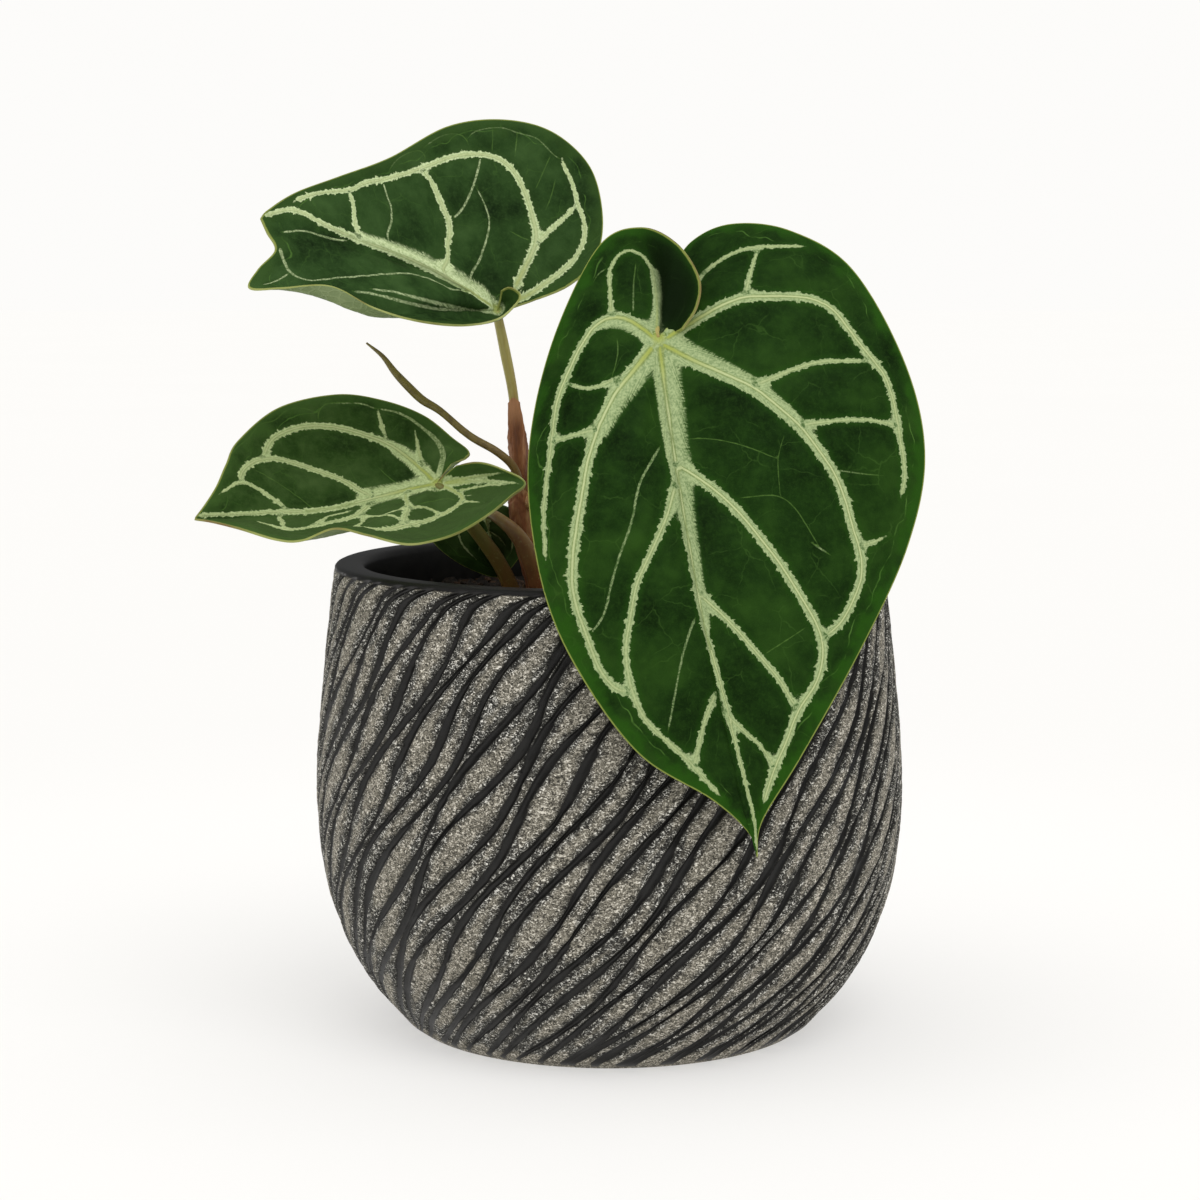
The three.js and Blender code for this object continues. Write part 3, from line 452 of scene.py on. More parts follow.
def add_object(name, data):
    thing = bpy.data.objects.new(name, data)
    bpy.context.scene.collection.objects.link(thing)
    return thing


def make_piece(name, node, points, faces, finishes, facts, sharp=None, finish_of=None):
    """A mesh piece in metres that stands for that CAD node."""
    mesh = bpy.data.meshes.new(name)
    mesh.from_pydata((points * MM).tolist(), [], faces.tolist())
    for fact, values in facts.items():
        layer = mesh.attributes.new(fact, "FLOAT", "POINT")
        layer.data.foreach_set("value", np.asarray(values, np.float32))
    for finish in finishes:
        mesh.materials.append(finish)
    if finish_of is not None:
        mesh.polygons.foreach_set("material_index", np.asarray(finish_of, np.int32))
    mesh.shade_smooth()
    if sharp:
        mesh.set_sharp_from_angle(angle=math.radians(sharp))
    mesh.update()
    piece = add_object(name, mesh)
    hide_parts(node)
    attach(piece, "root")


def linear(shade):
    """A linear colour from three 0-255 screen values; four values stay."""
    if len(shade) == 4:
        return shade
    return (*(((c / 255 + 0.055) / 1.055) ** 2.4 if c > 10 else c / 255 / 12.92 for c in shade), 1)


class Value:
    """A number that varies over a surface, from a node of its finish."""

    def __init__(self, finish, socket):
        self.finish = finish
        self.socket = socket

    def math(self, operation, other=0.0):
        node = self.finish.node("ShaderNodeMath", (0, self), (1, other), operation=operation)
        return Value(self.finish, node.outputs[0])

    def __add__(self, other):
        return self.math("ADD", other)

    def __sub__(self, other):
        return self.math("SUBTRACT", other)

    def __mul__(self, other):
        return self.math("MULTIPLY", other)

    def __abs__(self):
        return self.math("ABSOLUTE")

    def or_more(self, other):
        return self.math("MAXIMUM", other)

    def step(self, start, end, low=0.0, high=1.0):
        """Eases from low to high as the value goes from start to end."""
        node = self.finish.node(
            "ShaderNodeMapRange", ("Value", self), ("From Min", start), ("From Max", end),
            ("To Min", low), ("To Max", high), interpolation_type="SMOOTHSTEP")
        return Value(self.finish, node.outputs[0])

    def ramp(self, *stops):
        """Colours at places along the value."""
        node = self.finish.node("ShaderNodeValToRGB", ("Fac", self))
        elements = node.color_ramp.elements
        while len(elements) < len(stops):
            elements.new(0.5)
        for element, (position, shade) in zip(elements, stops):
            element.position = position
            element.color = linear(shade)
        return node.outputs[0]


class Finish:
    """A node material built up in short steps. Colours are 0-255 screen values."""

    def __init__(self, name, **constants):
        self.material = bpy.data.materials.new(name)
        self.material.use_nodes = True
        self.tree = self.material.node_tree
        self.shader = self.tree.nodes["Principled BSDF"]
        for socket, value in constants.items():
            self.shader.inputs[socket.replace("_", " ")].default_value = value

    def put(self, value, socket):
        """Sets a socket, or links it where the value comes from a node."""
        if isinstance(value, (int, float)):
            socket.default_value = value
        elif isinstance(value, tuple):
            socket.default_value = linear(value)
        else:
            self.tree.links.new(getattr(value, "socket", value), socket)

    def node(self, kind, *inputs, **settings):
        node = self.tree.nodes.new(kind)
        for key, value in settings.items():
            setattr(node, key, value)
        for socket, value in inputs:
            self.put(value, node.inputs[socket])
        return node

    def link(self, **sources):
        """Links sources to the shader's sockets."""
        for socket, source in sources.items():
            self.put(source, self.shader.inputs[socket.replace("_", " ")])

    def fact(self, name):
        """A number stored at the mesh's points."""
        return Value(self, self.node("ShaderNodeAttribute", attribute_name=name).outputs["Fac"])

    def place(self, stretch=None):
        """The point in metres, or with each axis scaled."""
        output = self.node("ShaderNodeTexCoord").outputs["Object"]
        if stretch is None:
            return output
        scaled = self.node("ShaderNodeMapping", ("Vector", output))
        scaled.inputs["Scale"].default_value = stretch
        return scaled.outputs[0]

    def noise_node(self, at, scale, detail, rough, *inputs, **settings):
        return self.node("ShaderNodeTexNoise", at, ("Scale", scale), ("Detail", detail),
                         ("Roughness", rough), *inputs, **settings)

    def noise(self, scale, detail=2.0, rough=0.5, stretch=None, bend=0.0):
        node = self.noise_node(("Vector", self.place(stretch)), scale, detail, rough,
                               ("Distortion", bend))
        return Value(self, node.outputs["Fac"])

    def teeth(self, along, scale):
        """Noise along one number."""
        node = self.noise_node(("W", along), scale, 2.0, 0.6, noise_dimensions="1D")
        return Value(self, node.outputs["Fac"])

    def cells(self, scale, where=None):
        """Distance from the borders of irregular cells."""
        node = self.node("ShaderNodeTexVoronoi", ("Vector", where or self.place()),
                         ("Scale", scale), feature="DISTANCE_TO_EDGE")
        return Value(self, node.outputs["Distance"])

    def mix(self, share, first, second):
        node = self.node("ShaderNodeMix", (0, share), data_type="RGBA")
        self.put(first, node.inputs[6])
        self.put(second, node.inputs[7])
        return node.outputs[2]

    def bump(self, height, distance, strength):
        node = self.node("ShaderNodeBump", ("Height", height), ("Strength", strength),
                         ("Distance", distance * MM))
        self.link(Normal=node.outputs[0])


def vein_bands(f, grain):
    """The toothed edge of the pale bands, all that is pale, and the thin veins' threads."""
    outside, along = f.fact("band"), f.fact("along")
    # Small teeth lean forward from the vein, and a wide pale patch ends in fibres.
    swept = along - outside.or_more(0.0) * 0.5
    tooth = f.teeth(swept, 0.75).step(0.42, 0.7) * f.fact("wide").step(0.4, 1.2, 0.3, 1)
    tall = f.teeth(swept + 61.0, 0.2).step(0.52, 0.72, 0.35, 1.2)
    away = f.fact("patch").step(2.2, 0.8)
    fibre = f.teeth(swept + 23.0, 1.5).step(0.34, 0.66, 0.1, 1.2) * away
    wander = (grain - 0.36) * 1.4
    edge = outside + wander - (tooth * tall).or_more(fibre)
    faint = f.fact("slim").step(0.38, 0.24)
    thin = (f.fact("thin") + wander * 0.35).step(0.16, -0.16)
    soft = away * edge.step(1.1, -0.3, 0, 0.5)
    pale = edge.step(0.22, -0.12).or_more(soft).or_more(thin * faint.step(0, 1, 0.85, 0.0))
    return edge, pale, thin * faint.step(0, 1, 0.0, 0.5)


def veinlet_cells(f):
    """Irregular cells with bent borders."""
    warp = f.noise_node(("Vector", f.place()), 300, 2.0, 0.5).outputs["Color"]
    bent = f.node("ShaderNodeVectorMath", (0, warp), ("Scale", 2.4 * MM), operation="SCALE")
    moved = f.node("ShaderNodeVectorMath", (0, f.place()), (1, bent.outputs[0]), operation="ADD")
    return f.cells(80, moved.outputs[0])


def lamina_green(f, fine, grain, cells, greens, painted_light_share):
    """Mottled velvet from deep to light green, painted lighter on the near half as if lit more, with
    veinlets.
    """
    deep, lamina, light = greens
    base = f.noise(55, 3, 0.6).ramp((0.3, deep), (0.5, lamina), (0.72, light))
    # Painted light: the near half of the blade is lighter.
    base = f.mix(f.fact("near_half") * painted_light_share, base, light)
    mottled = f.mix(grain.step(0.4, 0.75, 0, 0.3), base, light)
    pile = f.mix(fine.step(0.45, 0.75, 0, 0.25), mottled, light)
    # Veinlets come and go, and one runs in scallops along the margin.
    beside_rim = abs(f.fact("rim") + (f.noise(95) - 0.5) * 8 - 4.4)
    veinlet = f.noise(130, 3, 0.6).step(0.42, 0.62) * cells.step(0.016, 0.004, 0, 0.14).or_more(
        beside_rim.step(0.24, 0.08, 0, 0.6))
    return f.mix(veinlet, pile, (84, 122, 52))


def leaf_top(name, greens, margin, silver, painted_light_share=0.0):
    """Velvety upper side: dark green between pale vein bands with toothed edges."""
    f = Finish(name, Specular_IOR_Level=0.04)
    fine, grain, cells = f.noise(1500, 3, 0.6), f.noise(560, 3, 0.6), veinlet_cells(f)
    rim, near, in_pocket_shade = f.fact("rim"), f.fact("near"), f.fact("pocket")
    edge, pale, threads = vein_bands(f, grain)
    netted = lamina_green(f, fine, grain, cells, greens, painted_light_share)
    threaded = f.mix(threads, netted, (96, 130, 60))
    patchy = (f.noise(140, 3, 0.6) - 0.5) * 14
    green_rim = f.mix((rim + patchy).step(5.5, 0.5, 0, 0.8), threaded, margin)
    halo = f.mix(edge.step(2.2, 0.1, 0, 0.3), green_rim, margin)
    # Painted shade: the bowl of the folded lobe is darkened, less so near its rim.
    ground = f.mix(in_pocket_shade * rim.step(0.5, 9, 0.2, 0.95), halo, (10, 21, 4))
    # A wide patch turns greener away from its vein, between the fibres.
    line = f.fact("line")
    hairs = f.teeth(f.fact("along") * 0.35 - f.fact("band") * 1.6, 2.2)
    silvery = f.mix((fine * 0.65 + hairs * 0.35).step(0.32, 0.64), *silver)
    outer = line.step(1.1, 3.2, 0, 0.75) * (fine + hairs).step(1.15, 0.85, 0.35, 1)
    banded = f.mix(pale, ground, f.mix(outer, silvery, margin))
    # The vein itself: a pale ridge between two darker lines of painted shade, yellow-green where it
    # leaves the joint.
    young = near.step(24, 3)
    strong = f.fact("wide").step(0.6, 1.5, 0.35, 1)
    shade_flanked = f.mix(strong * line.step(0.6, 0.34, 0, 0.55), banded,
                    f.mix(young, (112, 128, 66), (116, 128, 46)))
    ridge = near.step(2.8, 0.8, 0, 0.7).or_more(strong * line.step(0.3, 0.12, 0, 0.75))
    lined = f.mix(ridge, shade_flanked, f.mix(young, (194, 204, 152), (160, 170, 78)))
    # More painted shade over the bowl of the folded lobe, veins and all.
    shaded = f.mix(in_pocket_shade * 0.85, lined, (14, 28, 8))
    f.link(Base_Color=f.mix(rim.step(0.5, 0.2, 0, 0.8), shaded, (140, 150, 74)),
           Roughness=pale.step(0, 1, 0.55, 0.45))
    relief = f.noise(2300, 2, 0.6) * 0.6 + grain
    f.bump(relief + cells.step(0.0, 0.4) * 1.2 + pale * -0.6, 0.2, 0.6)
    return f.material


def leaf_underside():
    """Matt pale green back with raised, lighter veins."""
    f = Finish("leaf_underside", Roughness=0.55, Specular_IOR_Level=0.35)
    base = f.noise(70, 3, 0.6).ramp((0.3, (104, 122, 78)), (0.7, (128, 144, 98)))
    netting = f.cells(330)
    netted = f.mix(netting.step(0.09, 0.0, 0, 0.4), base, (150, 165, 118))
    veined = f.mix(f.fact("band").step(0.25, -0.5, 0, 0.85), netted, (186, 196, 146))
    f.link(Base_Color=f.mix(f.fact("thin").step(0.25, -0.2, 0, 0.6), veined, (172, 184, 132)))
    f.bump(f.noise(1300) + netting.step(0.12, 0), 0.2, 0.5)
    return f.material


def leaf_rim():
    f = Finish("leaf_rim", Roughness=0.5, Specular_IOR_Level=0.4)
    f.link(Base_Color=f.noise(40, 3, 0.6).ramp(
        (0.38, (166, 172, 104)), (0.52, (138, 146, 74)), (0.66, (112, 78, 46))))
    f.bump(f.noise(900), 0.1, 0.4)
    return f.material


# Blades.


def half_blade(leaf, side):
    """One side's ribs, from the midrib round to the notch."""
    ribs = [leaf["midrib"], *leaf[side]]
    return {
        "join": np.array(leaf["join"], float),
        "edge": np.array([rib[0] for rib in ribs], float),
        "middle": np.array([rib[1] for rib in ribs], float),
        "sag": np.array([rib[2] if len(rib) > 2 else 0 for rib in ribs], float),
        "last": len(ribs) - 1,
    }


def blade_points(half, u, reach):
    """Points of a half blade: u counts its ribs, reach is the share of the way out."""
    edge = through(half["edge"], u)
    control = 2 * through(half["middle"], u) - 0.5 * (half["join"] + edge)
    r = reach[:, None]
    points = (1 - r) ** 2 * half["join"] + 2 * r * (1 - r) * control + r**2 * edge
    q = reach**3
    points[:, 2] -= through(half["sag"], u) * 4 * q * (1 - q)
    return points


def flat_chart(half):
    """A half blade laid flat as a fan: the angle and length of each rib."""
    u = np.linspace(0, half["last"], half["last"] * 16 + 1)
    reach = np.linspace(0, 1, 25)
    ribs = np.array([blade_points(half, np.full(25, x), reach) for x in u])
    length = np.linalg.norm(np.diff(ribs, axis=1), axis=2).sum(axis=1)
    toward = unit(ribs[:, 12] - half["join"])
    turn = np.arccos(np.clip((toward[1:] * toward[:-1]).sum(axis=1), -1, 1))
    return u, np.concatenate([[0], np.cumsum(turn)]), length


SPACING = 1.15  # between a blade's mesh points, in the open
THIN_VEIN = 1.25  # a vein that starts narrower than this is a thin one
VEIN_STEP = 0.55
JOINT_PATCH = 2.6  # mm round the stalk where the lamina is pale
# Rows of mesh points to either side of a vein: mm, and a share of its half width.
VEIN_ROWS = {
    "main": [(0, 0), (0.32, 0), (0, 0.85), (0, 1.15), (0, 1.8)],
    "thin": [(0, 0), (0, 0.9), (0, 1.9)],
}
VEIN_CELL = 0.42  # no two of those points share a cell of this size


def drawn(width_start, width_end, run):
    """A vein through its points with its corners rounded: x, y, half width, way along."""
    run = np.array(run, float)
    travel = way_along(run)
    count = max(4, int(travel[-1] / VEIN_STEP) + 1)
    points, at = spread(run, travel, count)
    reach = min(5, count // 3)
    for _ in range(2):
        before = 2 * points[0] - points[reach:0:-1]
        after = 2 * points[-1] - points[-2:-reach - 2:-1]
        padded = np.concatenate([before, points, after])
        points = np.mean([padded[k:k + count] for k in range(2 * reach + 1)], axis=0)
    half_width = (width_start + (width_end - width_start) * at / travel[-1]) / 2
    half_width *= 0.25 + 0.75 * ease(0, 2.2, np.minimum(at, travel[-1] - at))
    return np.column_stack([points, half_width, at])


def vein_samples(veins, other_side):
    """Every vein as close points with their half width. What the other half has
    beside the midrib shows here mirrored."""
    found = {"main": [], "thin": []}
    for own, source in ((True, veins), (False, other_side)):
        for vein in source:
            points = drawn(*vein)
            if not own:
                points = points[(points[:, 0] < 8) & (points[:, 1] > 2)] * [-1, 1, 1, 1]
            if len(points) > 2:
                found["thin" if vein[0] < THIN_VEIN else "main"].append(points)
    return found


def nearest(samples, points):
    """Distance from each point to its nearest sample, and that sample's index."""
    tree = kdtree.KDTree(len(samples))
    for k, (x, y) in enumerate(samples[:, :2]):
        tree.insert((x, y, 0), k)
    tree.balance()
    found = [tree.find((x, y, 0)) for x, y in points[:, :2]]
    return np.array([f[2] for f in found]), np.array([f[1] for f in found])


def outside_bands(runs, points, web):
    """Distance outside the vein bands, which web together where they meet."""
    total = np.zeros(len(points))
    for run in runs:
        distance, which = nearest(run, points)
        total += np.exp(-(distance - run[which, 2]) / web)
    return -web * np.log(np.maximum(total, 1e-30))


def thinned(points, cell):
    """Drops points that share a cell with an earlier one."""
    cells = np.floor(points / cell).astype(int)
    _, first = np.unique(cells, axis=0, return_index=True)
    return points[np.sort(first)]


def fan_angle(points):
    return np.mod(np.arctan2(points[:, 0], points[:, 1]), FULL_TURN)


def off_ray(far, turn):
    """Distance from a ray out of the centre, for points turned that far from it."""
    return np.where(turn < math.pi / 2, far * np.sin(turn), far)


def beside_veins(samples):
    """Rows of points on each vein and at set distances from it."""
    rows = []
    for level, offsets in VEIN_ROWS.items():
        points, width = samples[level][:, :2], samples[level][:, 2]
        step = np.roll(points, -1, axis=0) - points
        long = np.linalg.norm(step, axis=1) > 3 * VEIN_STEP
        step[long] = (points - np.roll(points, 1, axis=0))[long]
        across = unit(np.column_stack([-step[:, 1], step[:, 0]]))
        for fixed, share in offsets:
            distance = (fixed + share * width)[:, None]
            for sign in (1, -1):
                rows.append(points + sign * across * distance)
    return thinned(np.concatenate(rows), VEIN_CELL)


def filler_points(samples, reach):
    """An uneven triangular grid that keeps clear of the veins."""
    rows = []
    for k, y in enumerate(np.arange(-reach, reach, SPACING * 0.87)):
        x = np.arange(-reach, reach, SPACING) + (k % 2) * SPACING / 2
        rows.append(np.column_stack([x, np.full(len(x), y)]))
    filler = np.concatenate(rows)
    filler += np.random.default_rng(5).uniform(-0.12, 0.12, filler.shape) * SPACING
    clear = [nearest(samples[level], filler)[0] > SPACING * least
             for level, least in (("main", 0.8), ("thin", 0.6))]
    return filler[clear[0] & clear[1]]


def triangulated(flat, outline_count):
    """Triangles, turning left, between flat points inside the outline of the first few."""
    outline = list(range(outline_count))
    found = geometry.delaunay_2d_cdt([Vector(p) for p in flat], [], [outline], 1, 1e-5)
    source = np.array([ids[0] for ids in found[3]])
    faces = source[np.array(found[2])]
    corner = flat[faces]
    turn = np.cross(corner[:, 1] - corner[:, 0], corner[:, 2] - corner[:, 0])
    faces[turn < 0] = faces[turn < 0][:, ::-1]
    return faces


def chart_mesh(half, samples):
    """Points and triangles of the flat fan, closer together along the veins."""
    u, theta, length = flat_chart(half)
    end = theta[-1]
    samples = {level: np.concatenate(runs) for level, runs in samples.items()}
    spine = np.arange(SPACING, length[0], SPACING)
    edge_run = np.column_stack([length * np.sin(theta), length * np.cos(theta)])
    edge, _ = sampled(edge_run[::8], SPACING * 0.75)
    angle = fan_angle(edge)
    angle[0], angle[-1] = 0, end
    edge = np.interp(angle, theta, length)[:, None] * np.column_stack([np.sin(angle), np.cos(angle)])
    side = np.arange(SPACING, length[-1], SPACING)[::-1, None] * [math.sin(end), math.cos(end)]
    border = np.concatenate([[[0, 0]], np.column_stack([0 * spine, spine]), edge, side])

    reach = length.max() + SPACING
    inside = np.concatenate([beside_veins(samples), filler_points(samples, reach)])
    angle, far = fan_angle(inside), np.linalg.norm(inside, axis=1)
    margin = SPACING * 0.45
    kept = ((angle < end) & (far < np.interp(angle, theta, length) - margin) & (far > margin)
            & (off_ray(far, angle) > margin) & (off_ray(far, end - angle) > margin))
    flat = np.concatenate([border, inside[kept]])

    # Where each point is on the blade. Rounding mustn't turn the spine's points round.
    angle = fan_angle(flat)
    angle[flat[:, 0] ** 2 + flat[:, 1] ** 2 < 1e-9] = 0
    angle[1:len(spine) + 2] = 0
    angle[angle > end + 0.2] = 0
    far = np.linalg.norm(flat, axis=1)
    reach = np.clip(far / np.interp(angle, theta, length), 0, 1)
    rim, _ = nearest(np.concatenate([edge, side]), flat)
    faces = triangulated(flat, len(border))
    return flat, faces, np.interp(angle, theta, u), reach, angle, rim


BULGE = 0.55  # how far the lamina stands up between the veins
CREASE = 0.22  # how deep a thin vein lies
RIDGE = 0.16  # how far a main vein's line stands up
BACK_RIB = 0.5  # and how far it stands out behind
HALF_THICKNESS = 0.3


def vein_facts(flat, samples, pale_beside, web):
    """What the veins are to each point of a half blade laid flat."""
    mains, thins = np.concatenate(samples["main"]), np.concatenate(samples["thin"])
    line, which = nearest(mains, flat)
    thin, thin_which = nearest(thins, flat)
    width, slim = mains[which, 2], thins[thin_which, 2]
    near = np.linalg.norm(flat, axis=1)
    core = line / (1 + 1.2 * np.exp(-near / 20) * (width > 0.8))
    patches = [*(drawn(*patch) for patch in pale_beside), np.array([[0, 0, JOINT_PATCH]] * 3)]
    return {
        "band": outside_bands([*samples["main"], *patches], flat, web),
        "line": np.where(width > 0.4, core, 5),
        "thin": thin - 0.75 * slim,
        "near": near,
        "along": mains[which, 3] + 3 * width,
        "slim": slim,
        "wide": width,
        "patch": outside_bands(patches, flat, web),
    }


def leaf_mesh(leaf, veins, pale_beside, web, pocket_shade_from):
    """The middle surface of a blade, its halves joined along the midrib."""
    points, faces, facts, offset = [], [], {}, 0
    for side, other in (("left", "right"), ("right", "left")):
        half = half_blade(leaf, side)
        samples = vein_samples(veins[side], veins[other])
        flat, corners, at, reach, angle, rim = chart_mesh(half, samples)
        pocket = np.zeros(len(flat))
        # Painted shade for the bowl of the folded left lobe, from an angle on, weaker near its margin.
        if pocket_shade_from and side == "left":
            start = math.radians(pocket_shade_from)
            pocket = ease(start, start + 0.25, angle) * (1 - 0.6 * ease(0.9, 1, reach))
        found = {**vein_facts(flat, samples, pale_beside[side], web), "rim": rim,
                 "pocket": pocket, "near_half": np.full(len(flat), side == "right", float)}
        for fact, values in found.items():
            facts.setdefault(fact, []).append(values)
        points.append(blade_points(half, at, reach))
        faces.append((corners if side == "left" else corners[:, ::-1]) + offset)
        offset += len(flat)
    points = np.concatenate(points)
    _, first, weld = np.unique(np.round(points, 3), axis=0, return_index=True,
                               return_inverse=True)
    faces = weld.reshape(-1)[np.concatenate(faces)]
    faces = faces[(faces != np.roll(faces, 1, axis=1)).all(axis=1)]
    return points[first], faces, {fact: np.concatenate(v)[first] for fact, v in facts.items()}


def open_edges(faces):
    """The start and end points of the edges that only one triangle has."""
    edges = np.concatenate([faces[:, [0, 1]], faces[:, [1, 2]], faces[:, [2, 0]]])
    _, back, count = np.unique(np.sort(edges, axis=1), axis=0, return_inverse=True,
                               return_counts=True)
    return edges[count[back.reshape(-1)] == 1].T


def leaf_piece(name, leaf, veins, pale_beside, top, web=0.8, pocket_shade_from=None):
    """One blade: a veined upper side, a back and a thin rim. Web is how widely the bands join where
    they meet; from the angle in degrees given last, painted shade darkens the bowl of a folded lobe."""
    points, faces, facts = leaf_mesh(leaf, veins, pale_beside, web, pocket_shade_from)
    band, line, thin = facts["band"], facts["line"], facts["thin"]
    normals = point_normals(points, faces)
    settled = ease(0, 2.5, facts["rim"]) * ease(0, 6, facts["near"])
    lamina = BULGE * (1 - np.exp(-(np.maximum(band, 0) / 3.2) ** 2))
    crease = CREASE * np.exp(-(np.maximum(thin, 0) / 0.7) ** 2)
    ridge = RIDGE * np.exp(-(line / 0.32) ** 2)
    texture = 0.12 * waves(points, 5, 3) + 0.06 * waves(points, 2.2, 4)
    relief = settled * (lamina - crease + texture) + ridge
    back_rib = BACK_RIB * np.exp(-(line / 1.1) ** 2) * np.clip(facts["wide"] - 0.4, 0, 1.4)
    upper = points + normals * (HALF_THICKNESS + relief - BULGE / 2)[:, None]
    lower = points + normals * (-HALF_THICKNESS + 0.6 * relief - BULGE / 2 - back_rib)[:, None]
    a, b = open_edges(faces)
    size = len(points)
    wall = quad_faces(b, a, a + size, b + size)
    make_piece(name, f"{name}_blade", np.concatenate([upper, lower]),
               np.concatenate([faces, faces[:, ::-1] + size, wall]), [top, UNDERSIDE, RIM],
               {fact: np.tile(values, 2) for fact, values in facts.items()}, 50,
               np.repeat([0, 1, 2], [len(faces), len(faces), len(wall)]))


# Planter.


def wall_radius(z):
    """Radius of the turned wall at a height."""
    line = through(WALL, np.linspace(0, len(WALL) - 1, 400))
    return np.interp(z, line[:, 0], line[:, 1])


def slant_turn(heights):
    """Turn of the groove lines in degrees up to each height."""
    z = np.linspace(0, max(heights), 600)
    r = wall_radius(z)
    slant = GROOVE_SLANT + GROOVE_STEEPEN * z[1:]
    climb = np.hypot(np.diff(z), np.diff(r)) / ((r[1:] + r[:-1]) / 2 * slant)
    turn = np.degrees(np.interp(heights, z, np.concatenate([[0], np.cumsum(climb)])))
    hook = np.maximum(0, heights - HOOK_TOP + GROOVE_HOOK_RISE) / GROOVE_HOOK_RISE
    return turn + GROOVE_HOOK * hook ** 2


def groove_draws():
    """The part's own repeatable draws, three for each groove line."""
    state, draws = 11, []
    for _ in range(3 * GROOVE_LINES):
        state = (state * 1664525 + 1013904223) % 4294967296
        draws.append(state / 4294967296 - 0.5)
    return np.array(draws).reshape(-1, 3).T


def groove_azimuths(heights):
    """Azimuth in degrees of each groove line (columns) at each height (rows)."""
    line = np.arange(GROOVE_LINES)
    start, size, wave = groove_draws()
    around = line / GROOVE_LINES * FULL_TURN
    drift = GROOVE_DRIFT[0] * np.sin(3 * around) + GROOVE_DRIFT[1] * np.sin(7 * around + 1)
    phase = 180 * line + drift + GROOVE_SCATTER * start
    climb = 360 * heights[:, None] / (GROOVE_WAVE * (1 + 0.25 * wave))
    swing = GROOVE_SWING * (1 + 0.5 * size) * np.sin(np.radians(climb + phase))
    return line * 360 / GROOVE_LINES + slant_turn(heights)[:, None] + swing


def ring(radius, azimuth, z):
    """Points round the axis, with their azimuth in degrees from the front."""
    a = np.radians(azimuth)
    return np.stack([radius * np.sin(a), -radius * np.cos(a), np.broadcast_to(z, a.shape)],
                    axis=-1)


WALL_ROWS = 122
LAND_COLUMNS = 10
GROOVE_LEAN = 0.79  # across a groove is shorter than round the wall
FOOT_FADE = 4  # mm above the wall's foot in which the grooves deepen
HEAD_FADE = (139.8, 140.9)  # heights between which they end
PLAIN = 6.0  # mm from any groove, said of all that isn't the wall
# Radius and height of the rings below the wall, and over the lip to the floor.
FOOT = [(20, FOOT_RECESS), (54, FOOT_RECESS), (56, 0), (BASE_RADIUS - 1, 0)]
LIP = [(83.3, 141.6), (82.6, 141.92), (81.6, PLANTER_HEIGHT), (79.2, PLANTER_HEIGHT),
       (76.7, 141.95), (75.6, 141.6), (74.95, 140.9), (RIM_INNER_RADIUS, 139.6),
       (RIM_INNER_RADIUS, 134), (RIM_INNER_RADIUS, 120), (79.7, 96), (79.7, 62),
       (73.7, 34), (60, 14), (50, FLOOR_THICKNESS)]


def groove_grid(heights):
    """Azimuth of each point of the wall, and its distance from a groove."""
    lines = groove_azimuths(heights)
    following = np.roll(lines, -1, axis=1)
    following[:, -1] += 360
    gap = (following - lines)[:, :, None]
    share = 0.5 - 0.5 * np.cos(np.pi * np.arange(LAND_COLUMNS) / LAND_COLUMNS)
    azimuth = (lines[:, :, None] + gap * share).reshape(len(heights), -1)
    to_line = np.minimum(share, 1 - share) * gap * np.pi / 180 * GROOVE_LEAN
    return azimuth, to_line.reshape(len(heights), -1) * wall_radius(heights)[:, None]


def planter_piece():
    """Turned wall with a net of rounded grooves, plain lip and plain inside."""
    heights = np.linspace(WALL_FOOT, WALL_TOP, WALL_ROWS + 1)
    radius = wall_radius(heights)[:, None]
    azimuth, distance = groove_grid(heights)
    # The groove edges waver a little, as if cut by hand.
    place = ring(radius, azimuth, heights[:, None]).reshape(-1, 3)
    waver = (0.14 * waves(place, 6, 21) + 0.38 * waves(place, 24, 22)).reshape(azimuth.shape)
    foot = ease(0, FOOT_FADE, heights - WALL_FOOT)[:, None]
    head = 1 - ease(*HEAD_FADE, heights)[:, None]
    distance = distance + waver + 3 * (1 - head)
    cut = 1 - ease(0.35 * GROOVE_HALF_WIDTH, 1.75 * GROOVE_HALF_WIDTH, distance)
    depth = GROOVE_DEPTH * cut * foot * head
    grain = 0.07 * waves(place, 3, 5).reshape(azimuth.shape)
    swell = (0.25 * ease(0, 5, distance) + grain - 0.2) * foot * head
    rings = [*(ring(r, azimuth[0], h) for r, h in FOOT),
             *ring(radius - depth + swell, azimuth, heights[:, None]),
             *(ring(r, azimuth[-1], h) for r, h in LIP)]
    columns = azimuth.shape[1]
    points = np.concatenate([*rings, [[0, 0, FOOT_RECESS]], [[0, 0, FLOOR_THICKNESS]]])
    first = len(FOOT) * columns
    wall = slice(first, first + distance.size)
    groove = np.full(len(points), PLAIN)
    groove[wall] = (distance + 3 * (1 - foot)).reshape(-1)
    glaze = np.ones(len(points))
    land = ease(0.8 * GROOVE_HALF_WIDTH, 1.5 * GROOVE_HALF_WIDTH, distance) * head
    glaze[wall] = 1 - land.reshape(-1)
    glaze[:first] = 0
    make_piece("planter_body", "planter", points, capped_faces(len(rings), columns),
               [planter_finish()], {"groove": groove, "glaze": glaze})


